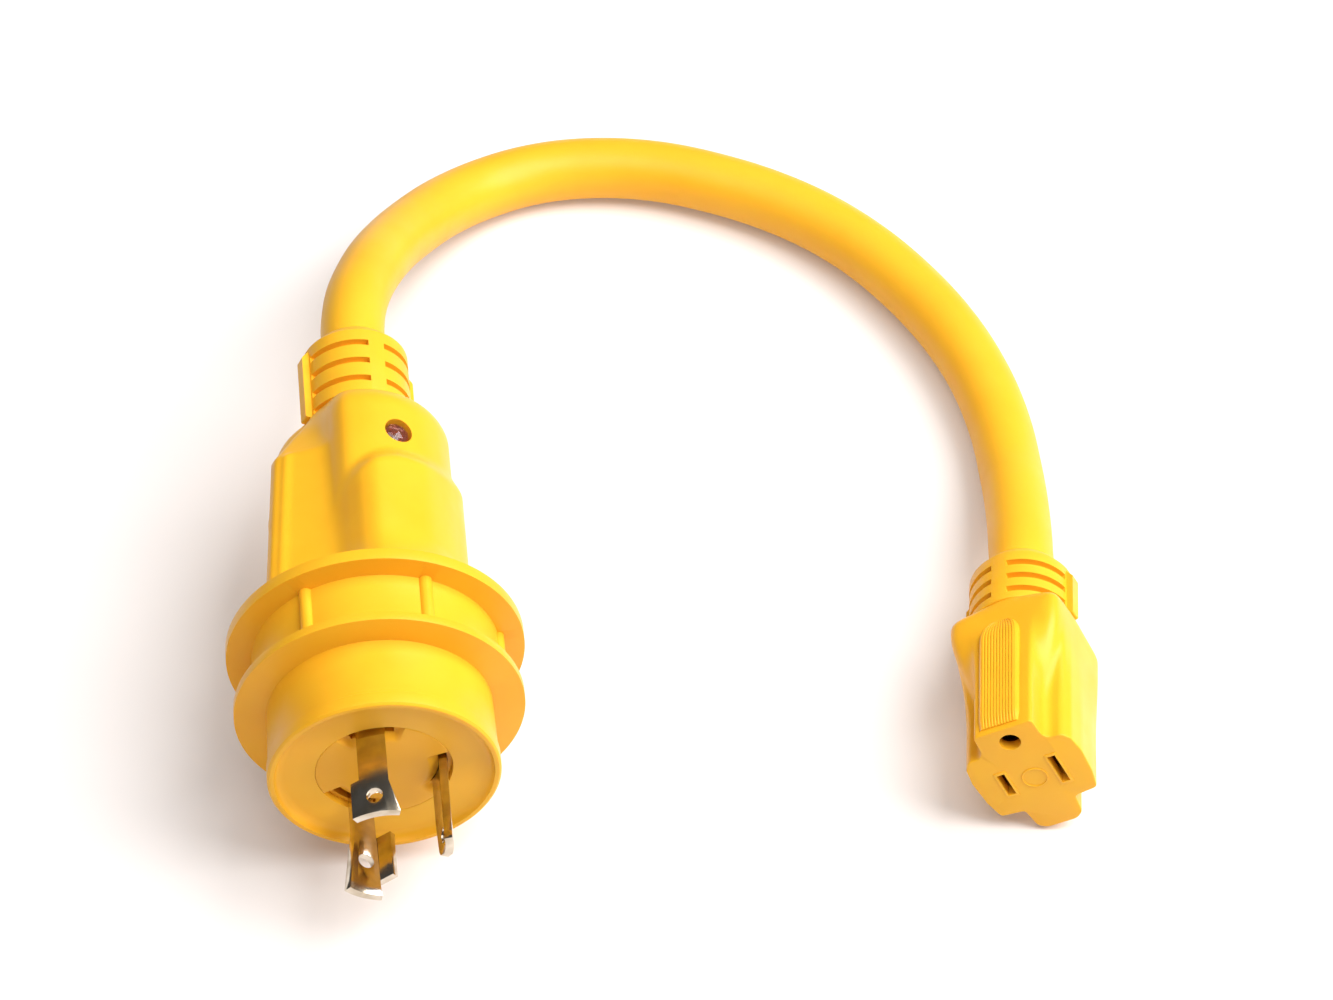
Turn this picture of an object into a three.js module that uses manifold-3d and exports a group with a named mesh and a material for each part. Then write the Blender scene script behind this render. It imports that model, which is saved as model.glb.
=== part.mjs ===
// A short adapter cord for a caravan or boat inlet, lying in a U on a table.
// One end is a 30 A locking plug with three curved blades and a power-on lamp,
// the other a 15 A connector with two slots and a round ground socket.
// Millimetres, +Z up, +X to the right, -Y towards the blades and the sockets.
// The origin is the middle of the base of the plug and the connector together.
//
// Each end is built along its own axis, where y is the distance behind its front
// face, and then turned into place.  Neighbouring pieces stay 0.3 mm or more clear.
import * as THREE from "three";
import { mergeVertices } from "three/addons/utils/BufferGeometryUtils.js";
import Module from "manifold-3d";

// ---------------------------------------------------------------- driving sizes
const DEG = Math.PI / 180;
const GAP = 0.3; // clearance between neighbouring pieces
const PAST = 1; // how far a cutter runs past the face that it opens

// Where the two ends lie, and how they are turned.
const PLUG_FACE = [-60.9, -50.33, 30.95];
const PLUG_TURN = { yaw: 5.04 * DEG, pitch: 3.86 * DEG, roll: 0 }; // nose down on its rings
const CONNECTOR_FACE = [81.8, -37.73, 16.7];
const CONNECTOR_TURN = { yaw: -2.41 * DEG, pitch: -2.5 * DEG, roll: -26.85 * DEG };

// Plug: a round nose, two thin rings with a ribbed band between them, and a grip.
const NOSE = { radius: 25.0, lipRadius: 25.9, lipLength: 3.5, chamfer: 0.6 };
const FACE_DISH = { radius: 24, depth: 2 }; // the face is sunk inside its rim
const FRONT_RING = { radius: 32.2, front: 18.2, back: 20.3 };
const REAR_RING = { radius: 33.24, front: 34.4, back: 37.3 };
const BAND_RADIUS = 27.6;
const BAND_RIB = { radius: 1.6, centre: 27.3, angles: [90, 147.5, 212.5, 270, 327.5, 32.5] };
const GRIP_CLOCK = 25 * DEG; // the grip and its lamp lean over to the right
const GRIP = { start: 36, end: 99, radius: 20.6, lobe: 3.0, shoulder: 80, neck: 12.6 };
const GRIP_STEPS = 10;
const GRIP_SIDES = 40;
const CAVITY = { radius: 15.5, end: 68, neck: 10.4, neckStart: 82 };

// Blades: three curved strips on one circle, the ground one longer and with an ear.
const BLADE = {
  inner: 12.1,
  outer: 13.9,
  halfAngle: 22.5 * DEG,
  notchAngle: 8 * DEG,
  holeRadius: 1.85,
  root: 12,
  shankFrom: 11,
  tail: 28,
  shankHalfAngle: 11 * DEG,
};
const SLOT_SIDE = 2 * DEG; // how far a cutter runs past a blade's side
const BLADES = {
  hot: { angle: 101 * DEG, length: 19.8, notchSide: 1, notchLength: 9.3, hole: [4.6, 0] },
  neutral: { angle: -12 * DEG, length: 19.8, notchSide: -1, notchLength: 9.3, hole: [4.6, 0] },
  ground: { angle: 237.5 * DEG, length: 23.3, notchSide: -1, notchLength: 9, hole: [8.9, 7 * DEG] },
};
const EAR = { length: 11.6, fromTip: 4.1, reach: 4, thickness: 1.6, slope: 37 * DEG };
const CARRIER = { radius: 15.1, front: 2, length: 25 };

// Crimp barrels on the tails of the blades and contacts, round the strands.
const BARREL = { outer: 2.9, bore: 1.9, length: 9, floor: 1.2 };
const PLUG_BARREL_REACH = 11; // how far the barrels sit from the plug's axis

// Power-on lamp under the clear lens in the grip's shoulder.
const LAMP_STATION = 83.5;
const LENS = { radius: 3.0, foot: 16.4, top: 18.6 };
const LAMP = { radius: 1.8, foot: 9.2, top: 15.8 };
const LAMP_BORE = { radius: 3.35, foot: 8.6 };
const RESISTOR = { radius: 1.1, length: 6.5, station: 62, reach: 12.6 };
const LEAD_RADIUS = 0.4;

// Strain relief sleeves: slotted collars whose anchors sit inside the two ends.
const PLUG_RELIEF = { radius: 12.3, start: 99.4, end: 124, tip: 9.4, rows: 4, anchor: 87 };
const CONNECTOR_RELIEF = { radius: 12.0, start: 44.4, end: 61.5, tip: 9.6, rows: 3, anchor: 38.5 };
const RELIEF_BORE = 7.9;
const RELIEF_ANCHOR_RADIUS = 9.4;
const RELIEF_TAPER = 3.5;
const RELIEF_SLOT = { width: 1.7, depth: 1.6, pitch: 5.3, behindTaper: 4, from: 10, to: 80 };
const RELIEF_FIN = { reach: 13.8, thickness: 3, nose: 6, inset: 0.5 };

// Connector: the face outline, its right half from the keel up to the block.
const SHOULDER = { halfWidth: 13.3, top: 9.6, bottom: -9.0 };
const BLOCK = { halfWidth: 7.0, top: 16.4 };
const KEEL = { halfWidth: 5.5, bottom: -16.4 };
const FLARE = { start: 13, end: 36, halfWidth: 13.4, top: 16, bottom: -10 };
const DOME_RADIUS = 11.6;
const CONNECTOR_LENGTH = 44;
const CONNECTOR_STEPS = 11;
const CABLE_RISE = 4.2; // the cable leaves above the line of the slots
const SLOT_REACH = 6.35; // half the 12.7 mm between the slots
const GROUND_RISE = 11.86;
const HOT_SLOT = { width: 1.9, height: 6.7 };
const NEUTRAL_SLOT = { width: 1.9, height: 8.6 };
const GROUND_HOLE_RADIUS = 2.45;
const FACE_THICKNESS = 2.6;
const INSERT = { back: 30, halfWidth: 10.4, bottom: -6.2, shelf: 7, neck: 4.6, top: 14.4 };
const POCKET = { halfHeight: 3.9, barrelFrom: 19 };
const CONNECTOR_CAVITY = { radius: 10.6, end: 37.5 };
const CONTACT = { front: 3.6, back: 21, leaf: 0.8, spread: 2.0, hotHeight: 6, neutralHeight: 7 };
const CONTACT_BARREL = { outer: 2.8, length: 8 };
const LEAF_BOW = 1.0;
const LEAF_STEPS = 6;
const GROUND_SOCKET = { outer: 3.2, bore: 2.5, rise: GROUND_RISE - 0.4, slit: 0.5, slitEnd: 15 };

// Cord: three insulated conductors and their fillers in a round jacket.
const CORD_RADIUS = 7.45;
const JACKET_BORE = 5.95;
const CONDUCTOR_RADIUS = 2.3;
const INSULATION_BORE = 1.75;
const STRANDS_RADIUS = 1.45;
const LAY_RADIUS = 2.95;
const FILLER = { radius: 0.85, lay: 4.6 };
const JACKET_SIDES = 12;
const WIRE_SIDES = 6;
const STRANDS_SIDES = 6;
const CORD_STEPS = 26;
const PLUG_SPREAD_STEPS = 5;
const CONNECTOR_SPREAD_STEPS = 4;
const JACKET_PLUG_STATION = 89;
const JACKET_CONNECTOR_STATION = 42;
const INSULATION_PLUG_STATION = 41;
const INSULATION_CONNECTOR_STATION = 31.6;
const STRANDS_PLUG_STATION = 30.5;
const STRANDS_CONNECTOR_STATION = 24.5;
const SPREAD_PLUG_STATION = 42; // the conductors start to draw together here
const SPREAD_CONNECTOR_STATION = 32.5; // and are apart again here

// The cord's centre line from sleeve to sleeve: down from the plug, along the table
// in a U, and up into the connector.
const CORD_ROUTE = [
  [-71.8, 72.97, 39.3],
  [-72.3, 80.57, 39.6],
  [-71.9, 91.07, 38.1],
  [-69.9, 104.57, 33.6],
  [-66.5, 120.07, 26.6],
  [-61.5, 135.57, 18.9],
  [-53.9, 150.57, 12.3],
  [-44.8, 160.67, 8.7],
  [-34.8, 166.47, 7.6],
  [-24.3, 169.17, 7.5],
  [-11.8, 169.77, 7.5],
  [0.7, 168.07, 7.5],
  [13.2, 164.07, 7.5],
  [25.7, 158.37, 7.5],
  [38.2, 150.27, 7.5],
  [49.2, 140.27, 7.5],
  [58.7, 128.57, 7.5],
  [66.7, 116.07, 7.5],
  [72.7, 103.57, 7.5],
  [77.0, 91.07, 7.5],
  [79.9, 78.07, 7.6],
  [81.5, 64.57, 9.2],
  [82.4, 51.07, 12.7],
  [82.7, 38.07, 15.7],
  [82.6, 30.57, 17.1],
  [82.5, 23.87, 17.7],
];

// -------------------------------------------------------------------- materials
const finish = (color, roughness, metalness = 0) =>
  new THREE.MeshStandardMaterial({ color, roughness, metalness });
const YELLOW_PVC = finish("#fbd93c", 0.38);
const CARRIER_PVC = finish("#f2c52f", 0.42);
const NICKEL = finish("#cfc9bd", 0.2, 1);
const BRASS = finish("#c9a24a", 0.3, 1);
const COPPER = finish("#b87333", 0.35, 1);
const CLEAR = finish("#f3e6df", 0.08);
const LAMP_GLASS = finish("#d9532c", 0.15);
const RESISTOR_COAT = finish("#d8c7a0", 0.5);
const TINNED = finish("#c4c4c4", 0.35, 1);
const FILLER_PAPER = finish("#d9cfb8", 0.9);
const JACKET_YELLOW = finish("#f9d83f", 0.45);
const INSULATION = {
  hot: finish("#222222", 0.45),
  neutral: finish("#e8e6e0", 0.45),
  ground: finish("#2f7a3d", 0.45),
};

// -------------------------------------------------------- solids and their joins
const wasm = await Module();
wasm.setup();

// A closed three.js geometry as a manifold-3d solid, its faces turned outwards.
function solid(geometry) {
  const loose = geometry.index ? geometry.toNonIndexed() : geometry;
  const bare = new THREE.BufferGeometry();
  bare.setAttribute("position", loose.getAttribute("position"));
  const merged = mergeVertices(bare, 1e-4);
  const corners = merged.index.array;
  const volumeSign = Math.sign(signedVolume(merged.attributes.position.array, corners));
  const triVerts = [];
  for (let i = 0; i < corners.length; i += 3) {
    const [a, b, c] = [corners[i], corners[i + 1], corners[i + 2]];
    if (a === b || b === c || a === c) continue;
    triVerts.push(...(volumeSign < 0 ? [a, c, b] : [a, b, c]));
  }
  return new wasm.Manifold(
    new wasm.Mesh({
      numProp: 3,
      vertProperties: merged.attributes.position.array,
      triVerts: new Uint32Array(triVerts),
    }),
  );
}

// Six times the volume inside a triangle mesh, negative where it is inside out.
function signedVolume(points, corners) {
  const at = (i) => new THREE.Vector3().fromArray(points, 3 * corners[i]);
  let sum = 0;
  for (let i = 0; i < corners.length; i += 3) {
    sum += at(i).dot(at(i + 1).cross(at(i + 2)));
  }
  return sum;
}

// The solid back as a three.js mesh of that name.
function piece(name, made, material) {
  const mesh = made.getMesh();
  const geometry = new THREE.BufferGeometry();
  geometry.setAttribute("position", new THREE.BufferAttribute(mesh.vertProperties, 3));
  geometry.setIndex(new THREE.BufferAttribute(mesh.triVerts, 1));
  geometry.computeVertexNormals();
  const shown = new THREE.Mesh(geometry, material);
  shown.name = name;
  return shown;
}

const joined = (parts) => parts.reduce((sum, part) => sum.add(part));
const cut = (body, cutters) => cutters.reduce((left, cutter) => left.subtract(cutter), body);

// ------------------------------------------------- shapes along an end's own axis
// A round piece about the y axis, from [radius, station] pairs in order.
function turned(profile, sides = 48) {
  const points = profile.map(([radius, station]) => new THREE.Vector2(radius, station));
  return new THREE.LatheGeometry(points, sides);
}

const rod = (radius, from, to, sides = 24) =>
  turned([[0, from], [radius, from], [radius, to], [0, to]], sides);

// A flat x-z outline drawn out along y from one station to another.
function drawnOut(shape, from, to, steps = 1) {
  const settings = { depth: to - from, steps, bevelEnabled: false, curveSegments: 4 };
  return new THREE.ExtrudeGeometry(shape, settings).rotateX(Math.PI / 2).translate(0, to, 0);
}

function block(x0, x1, y0, y1, z0, z1) {
  const box = new THREE.BoxGeometry(x1 - x0, y1 - y0, z1 - z0);
  return box.translate((x0 + x1) / 2, (y0 + y1) / 2, (z0 + z1) / 2);
}

// A sector of a ring in the x-z plane, between two angles from +x towards +z.
function sector(inner, outer, from, to) {
  const shape = new THREE.Shape();
  shape.absarc(0, 0, outer, from, to, false);
  shape.absarc(0, 0, inner, to, from, true);
  shape.closePath();
  return shape;
}

const polygon = (points) => new THREE.Shape(points.map(([x, z]) => new THREE.Vector2(x, z)));

// Turns a geometry made on the end's axis by an angle from +x towards +z.
const clocked = (geometry, angle) => geometry.rotateY(-angle);

// Moves each corner by a rule of its place: f(x, station, z) gives the new place.
function reshaped(geometry, rule) {
  const place = geometry.getAttribute("position");
  for (let i = 0; i < place.count; i++) {
    place.setXYZ(i, ...rule(place.getX(i), place.getY(i), place.getZ(i)));
  }
  return geometry;
}

const smooth = (t) => THREE.MathUtils.smoothstep(t, 0, 1);
const mix = THREE.MathUtils.lerp;

// ----------------------------------------------------------------- the locking plug
function plugShell() {
  const turnedPart = turned([
    [0, 0],
    [NOSE.lipRadius - NOSE.chamfer, 0],
    [NOSE.lipRadius, NOSE.chamfer],
    [NOSE.lipRadius, NOSE.lipLength],
    [NOSE.radius + 0.3, NOSE.lipLength],
    [NOSE.radius, FRONT_RING.front],
    [FRONT_RING.radius, FRONT_RING.front],
    [FRONT_RING.radius, FRONT_RING.back],
    [BAND_RADIUS, FRONT_RING.back],
    [BAND_RADIUS, REAR_RING.front],
    [REAR_RING.radius, REAR_RING.front],
    [REAR_RING.radius, REAR_RING.back],
    [GRIP.radius + GRIP.lobe, REAR_RING.back],
    [GRIP.radius, REAR_RING.back + 3],
    [0, REAR_RING.back + 3],
  ], 48);
  const ribs = BAND_RIB.angles.map((angle) =>
    solid(
      clocked(
        rod(BAND_RIB.radius, FRONT_RING.back - PAST, REAR_RING.front + PAST, 8).translate(
          BAND_RIB.centre, 0, 0,
        ),
        angle * DEG - GRIP_CLOCK,
      ),
    ),
  );
  return joined([solid(turnedPart), solid(grip()), ...ribs]);
}

// The grip: a crown above and below, a wing at each side, drawn in to the sleeve.
function grip() {
  const outline = new THREE.Shape();
  for (let i = 0; i < GRIP_SIDES; i++) {
    const angle = (i / GRIP_SIDES) * 2 * Math.PI;
    const radius = GRIP.radius + GRIP.lobe * Math.cos(4 * angle);
    const point = [radius * Math.cos(angle), radius * Math.sin(angle)];
    if (i === 0) outline.moveTo(...point);
    else outline.lineTo(...point);
  }
  outline.closePath();
  const bar = drawnOut(outline, GRIP.start, GRIP.end, GRIP_STEPS);
  reshaped(bar, (x, station, z) => {
    const radius = Math.hypot(x, z);
    const t = (station - GRIP.shoulder) / (GRIP.end - GRIP.shoulder);
    const fall = t <= 0 ? 0 : 1 - Math.sqrt(1 - Math.min(t, 1) ** 2);
    const target = mix(radius, GRIP.neck, fall);
    return [(x * target) / radius, station, (z * target) / radius];
  });
  return clocked(bar, -GRIP_CLOCK);
}

function plugBody() {
  const cavity = turned([
    [0, -PAST],
    [FACE_DISH.radius, -PAST],
    [FACE_DISH.radius, FACE_DISH.depth],
    [CARRIER.radius + GAP, FACE_DISH.depth],
    [CARRIER.radius + GAP, CARRIER.length + GAP],
    [CAVITY.radius, CARRIER.length + GAP],
    [CAVITY.radius, CAVITY.end],
    [CAVITY.neck, CAVITY.neckStart],
    [CAVITY.neck, GRIP.end + PAST],
    [0, GRIP.end + PAST],
  ], 24);
  const lampBore = alongLamp(LAMP_BORE.radius, LAMP_BORE.foot, REAR_RING.radius, 20);
  return piece("plug_body", cut(plugShell(), [solid(cavity), solid(lampBore)]), YELLOW_PVC);
}

// A rod that stands on the lamp's own radial axis.
function alongLamp(radius, foot, top, sides) {
  const upright = new THREE.CylinderGeometry(radius, radius, top - foot, sides);
  upright.rotateX(Math.PI / 2).translate(0, LAMP_STATION, (foot + top) / 2);
  return upright.rotateY(GRIP_CLOCK);
}

function bladeCarrier() {
  const slots = Object.values(BLADES).map(({ angle }) =>
    solid(
      drawnOut(
        sector(
          BLADE.inner - GAP,
          BLADE.outer + GAP,
          angle - BLADE.halfAngle - SLOT_SIDE,
          angle + BLADE.halfAngle + SLOT_SIDE,
        ),
        -PAST,
        CARRIER.length + PAST,
      ),
    ),
  );
  return piece(
    "plug_blade_carrier",
    cut(solid(rod(CARRIER.radius, CARRIER.front, CARRIER.length, 36)), slots),
    CARRIER_PVC,
  );
}

// One blade: its curved strip with the locking notch and hole, a narrow shank
// through the carrier, and a crimp barrel at its tail.
function blade(kind) {
  const { angle, length, notchSide, notchLength, hole: [fromTip, aside] } = BLADES[kind];
  const low = angle - BLADE.halfAngle;
  const high = angle + BLADE.halfAngle;
  const strip = solid(drawnOut(sector(BLADE.inner, BLADE.outer, low, high), -length, BLADE.root));
  const shankShape = sector(
    BLADE.inner, BLADE.outer, angle - BLADE.shankHalfAngle, angle + BLADE.shankHalfAngle,
  );
  const shank = solid(drawnOut(shankShape, BLADE.shankFrom, BLADE.tail + BARREL.floor));
  const barrelAt = [
    PLUG_BARREL_REACH * Math.cos(angle), 0, PLUG_BARREL_REACH * Math.sin(angle),
  ];
  const barrelEnd = BLADE.tail + BARREL.length;
  const barrel = rod(BARREL.outer, BLADE.tail, barrelEnd, 14).translate(...barrelAt);
  const bore = rod(BARREL.bore, BLADE.tail + BARREL.floor, barrelEnd + PAST, 14).translate(...barrelAt);
  const edge = notchSide < 0 ? low : high - BLADE.notchAngle;
  const notchShape = sector(
    BLADE.inner - 1, BLADE.outer + 1, edge - SLOT_SIDE, edge + BLADE.notchAngle + SLOT_SIDE,
  );
  const notch = drawnOut(notchShape, -notchLength, FACE_DISH.depth - 0.5);
  const hole = new THREE.CylinderGeometry(BLADE.holeRadius, BLADE.holeRadius, 8, 16);
  hole.rotateZ(Math.PI / 2).translate(BLADE.outer, -length + fromTip, 0);
  const parts = [strip, shank, solid(barrel)];
  if (kind === "ground") parts.push(ear(high, length));
  return piece(
    `${kind}_blade`,
    cut(joined(parts), [solid(notch), solid(clocked(hole, angle + aside)), solid(bore)]),
    NICKEL,
  );
}

// The ear bent inwards from the ground blade's edge.
function ear(edgeAngle, length) {
  const tip = -length + EAR.fromTip;
  const half = EAR.thickness / 2;
  const middle = (BLADE.inner + BLADE.outer) / 2;
  const flange = block(-half, EAR.reach, tip, tip + EAR.length, -half, half);
  return solid(
    clocked(flange, EAR.slope).translate(
      middle * Math.cos(edgeAngle), 0, middle * Math.sin(edgeAngle),
    ),
  );
}

function lampPieces() {
  const lens = piece(
    "indicator_lens", solid(alongLamp(LENS.radius, LENS.foot, LENS.top, 20)), CLEAR,
  );
  const lamp = piece(
    "indicator_lamp", solid(alongLamp(LAMP.radius, LAMP.foot, LAMP.top, 14)), LAMP_GLASS,
  );
  const resistor = rod(
    RESISTOR.radius,
    RESISTOR.station - RESISTOR.length / 2,
    RESISTOR.station + RESISTOR.length / 2,
    12,
  ).translate(RESISTOR.reach, 0, 0);
  const dropper = piece(
    "lamp_resistor", solid(clocked(resistor, 90 * DEG - GRIP_CLOCK)), RESISTOR_COAT,
  );
  return [lens, lamp, dropper];
}

// A thin wire through points given as [reach, angle in degrees, station].
function lead(name, points) {
  const path = new THREE.CatmullRomCurve3(
    points.map(([reach, angle, station]) =>
      new THREE.Vector3(
        reach * Math.cos(angle * DEG), station, reach * Math.sin(angle * DEG),
      ),
    ),
  );
  return piece(name, solid(alongPath(disc(LEAD_RADIUS, STRANDS_SIDES), path, 10)), TINNED);
}

// ------------------------------------------------------------ strain relief sleeves
function reliefSleeve(name, spec, finAngle) {
  const outer = turned([
    [0, spec.anchor],
    [RELIEF_ANCHOR_RADIUS, spec.anchor],
    [RELIEF_ANCHOR_RADIUS, spec.start],
    [spec.radius, spec.start],
    [spec.radius, spec.end - RELIEF_TAPER],
    [spec.tip, spec.end],
    [0, spec.end],
  ], 32);
  const finOutline = polygon([
    [-RELIEF_FIN.reach, spec.start],
    [RELIEF_FIN.reach, spec.start],
    [RELIEF_FIN.reach, spec.end - RELIEF_FIN.nose],
    [spec.tip - RELIEF_FIN.inset, spec.end],
    [RELIEF_FIN.inset - spec.tip, spec.end],
    [-RELIEF_FIN.reach, spec.end - RELIEF_FIN.nose],
  ]);
  const fins = new THREE.ExtrudeGeometry(finOutline, {
    depth: RELIEF_FIN.thickness,
    bevelEnabled: false,
  }).translate(0, 0, -RELIEF_FIN.thickness / 2);
  const bore = rod(RELIEF_BORE, spec.anchor - PAST, spec.end + PAST, 20);
  const slots = [];
  for (let row = 0; row < spec.rows; row++) {
    const station = spec.end - RELIEF_TAPER - RELIEF_SLOT.behindTaper - row * RELIEF_SLOT.pitch;
    for (const side of [0, 90, 180, 270]) {
      const groove = sector(
        spec.radius - RELIEF_SLOT.depth,
        RELIEF_FIN.reach + PAST,
        (side + RELIEF_SLOT.from) * DEG,
        (side + RELIEF_SLOT.to) * DEG,
      );
      slots.push(solid(drawnOut(groove, station - RELIEF_SLOT.width / 2,
        station + RELIEF_SLOT.width / 2)));
    }
  }
  const sleeve = cut(solid(outer).add(solid(fins)), [solid(bore), ...slots]);
  return piece(name, sleeve.rotate([0, -finAngle / DEG, 0]), YELLOW_PVC);
}

// --------------------------------------------------------------- the 15 A connector
function faceOutline() {
  const { halfWidth, top, bottom } = SHOULDER;
  const right = [
    [KEEL.halfWidth - 2, KEEL.bottom],
    [KEEL.halfWidth, KEEL.bottom + 1.5],
    [KEEL.halfWidth + 0.6, bottom - 0.6],
    [halfWidth - 1.6, bottom],
    [halfWidth - 0.5, -4],
    [halfWidth, 3],
    [halfWidth - 0.6, 7.4],
    [halfWidth - 2, top],
    [BLOCK.halfWidth + 1, top],
    [BLOCK.halfWidth + 0.2, top + 1],
    [BLOCK.halfWidth, BLOCK.top],
  ];
  const left = right.map(([x, z]) => [-x, z]).reverse();
  return polygon([...right, ...left]);
}

// How far a rounded box reaches from the cable's axis at an angle.
function boxReach(angle, halfWidth, up, down) {
  const [c, s] = [Math.abs(Math.cos(angle)), Math.sin(angle)];
  const height = s > 0 ? up : down;
  const exponent = 5;
  return ((c / halfWidth) ** exponent + (Math.abs(s) / height) ** exponent) ** (-1 / exponent);
}

// The connector's outside: the face outline, flared to a rounded box and then domed.
function connectorShell() {
  const bar = drawnOut(faceOutline(), 0, CONNECTOR_LENGTH, CONNECTOR_STEPS);
  reshaped(bar, (x, station, z) => {
    const rise = z - CABLE_RISE;
    const angle = Math.atan2(rise, x);
    const own = Math.hypot(x, rise);
    const box = boxReach(
      angle, FLARE.halfWidth, FLARE.top - CABLE_RISE, CABLE_RISE - FLARE.bottom,
    );
    const toBox = smooth((station - FLARE.start) / (FLARE.end - FLARE.start));
    const t = Math.max(0, (station - FLARE.end) / (CONNECTOR_LENGTH - FLARE.end));
    const toDome = 1 - Math.sqrt(1 - Math.min(t, 1) ** 2);
    const target = mix(mix(own, box, toBox), DOME_RADIUS, toDome);
    return [(x * target) / own, station, CABLE_RISE + (rise * target) / own];
  });
  return solid(bar);
}

const slotCutter = (x, { width, height }, from, to) =>
  block(x - width / 2, x + width / 2, from, to, -height / 2, height / 2);

function insertOutline(extra) {
  const { halfWidth, bottom, shelf, neck, top } = INSERT;
  return polygon([
    [-halfWidth - extra, bottom - extra],
    [halfWidth + extra, bottom - extra],
    [halfWidth + extra, shelf + extra],
    [neck + extra, shelf + extra],
    [neck + extra, top + extra],
    [-neck - extra, top + extra],
    [-neck - extra, shelf + extra],
    [-halfWidth - extra, shelf + extra],
  ]);
}

function connectorBody() {
  const openings = [
    slotCutter(-SLOT_REACH, HOT_SLOT, -PAST, FACE_THICKNESS + PAST),
    slotCutter(SLOT_REACH, NEUTRAL_SLOT, -PAST, FACE_THICKNESS + PAST),
    rod(GROUND_HOLE_RADIUS, -PAST, FACE_THICKNESS + PAST, 20).translate(0, 0, GROUND_RISE),
    drawnOut(insertOutline(GAP), FACE_THICKNESS, INSERT.back + PAST),
    turned([
      [0, INSERT.back],
      [CONNECTOR_CAVITY.radius, INSERT.back],
      [CONNECTOR_CAVITY.radius, CONNECTOR_CAVITY.end - 2],
      [RELIEF_ANCHOR_RADIUS + GAP, CONNECTOR_CAVITY.end],
      [RELIEF_ANCHOR_RADIUS + GAP, CONNECTOR_LENGTH + PAST],
      [0, CONNECTOR_LENGTH + PAST],
    ], 32).translate(0, 0, CABLE_RISE),
  ];
  return piece("connector_body", cut(connectorShell(), openings.map(solid)), YELLOW_PVC);
}

// The moulded insert that holds the three contacts behind the face.
function contactCarrier() {
  const front = FACE_THICKNESS + GAP;
  const bar = solid(drawnOut(insertOutline(0), front, INSERT.back));
  const halfPocket = CONTACT.spread + CONTACT.leaf / 2 + GAP;
  const pockets = [-SLOT_REACH, SLOT_REACH].map((x) =>
    block(x - halfPocket, x + halfPocket, front - PAST, INSERT.back + PAST,
      -POCKET.halfHeight, POCKET.halfHeight),
  );
  const barrelPockets = [-SLOT_REACH, SLOT_REACH].map((x) =>
    rod(BARREL.outer + GAP, POCKET.barrelFrom, INSERT.back + PAST, 16).translate(x, 0, 0),
  );
  const socketPocket = rod(GROUND_SOCKET.outer + GAP, front - PAST, INSERT.back + PAST, 18);
  socketPocket.translate(0, 0, GROUND_SOCKET.rise);
  const cutters = [...pockets, ...barrelPockets, socketPocket].map(solid);
  return piece("contact_carrier", cut(bar, cutters), CARRIER_PVC);
}

// A slot's contact: two sprung leaves joined by a web, and a crimp barrel behind.
function slotContact(name, x, height) {
  const { front, back, leaf, spread } = CONTACT;
  const half = height / 2;
  const strip = polygon([
    [-leaf / 2, -half],
    [leaf / 2, -half],
    [leaf / 2, half],
    [-leaf / 2, half],
  ]);
  // The leaves bow together at mid length, where they grip the blade.
  const leaves = [-1, 1].map((side) =>
    solid(
      reshaped(drawnOut(strip, front, back, LEAF_STEPS), (px, y, pz) => {
        const along = (y - front) / (back - front);
        return [px + side * (spread - LEAF_BOW * Math.sin(along * Math.PI)), y, pz];
      }),
    ),
  );
  const web = block(-spread - leaf / 2, spread + leaf / 2, back - leaf, back + 0.4, -half, half);
  const end = back + CONTACT_BARREL.length;
  const barrel = rod(CONTACT_BARREL.outer, back, end, 14);
  const bore = rod(BARREL.bore, back + BARREL.floor, end + PAST, 14);
  const made = cut(joined([...leaves, solid(web), solid(barrel)]), [solid(bore)]);
  return piece(name, made.translate([x, 0, 0]), BRASS);
}

function groundContact() {
  const { outer, bore, rise, slit, slitEnd } = GROUND_SOCKET;
  const { front, back } = CONTACT;
  const end = back + CONTACT_BARREL.length;
  const tube = rod(outer, front, back, 18);
  const bores = [
    rod(bore, front - PAST, back - 2 * BARREL.floor, 18),
    rod(BARREL.bore, back - BARREL.floor, end + PAST, 14),
    block(-slit, slit, front - PAST, slitEnd, 0, outer + PAST),
  ];
  const barrel = rod(CONTACT_BARREL.outer, back - BARREL.floor, end, 14);
  const made = cut(joined([solid(tube), solid(barrel)]), bores.map(solid));
  return piece("ground_contact", made.translate([0, 0, rise]), BRASS);
}

// ---------------------------------------------------------------------- the groups
function placed(at, { yaw, pitch, roll }, meshes) {
  const group = new THREE.Group();
  group.position.set(...at);
  group.rotation.set(pitch, roll, yaw, "ZXY");
  group.add(...meshes);
  group.updateMatrixWorld(true);
  return group;
}

const plug = placed(PLUG_FACE, PLUG_TURN, [
  plugBody(),
  bladeCarrier(),
  ...Object.keys(BLADES).map(blade),
  ...lampPieces(),
  lead("lamp_lead_hot", [[13.6, 90, 40], [13.6, 86, 46], [13.2, 76, 52], [12.6, 65, 57.8]]),
  lead("lamp_lead_middle", [[12.6, 65, 66.2], [12.2, 65, 70], [10, 65, 76], [7.4, 66, 80],
    [6.6, 66, 82], [7.6, 66, 83], [8.6, 66, 83.2]]),
  lead("lamp_lead_neutral", [[13.8, 9, 40], [14, 17, 48], [13.8, 30, 58], [12.6, 44, 68],
    [9.2, 55, 76], [7.6, 59, 80], [7.4, 60, 81.6], [8.6, 61, 82.8]]),
  reliefSleeve("plug_strain_relief", PLUG_RELIEF, -GRIP_CLOCK),
]);

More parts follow.
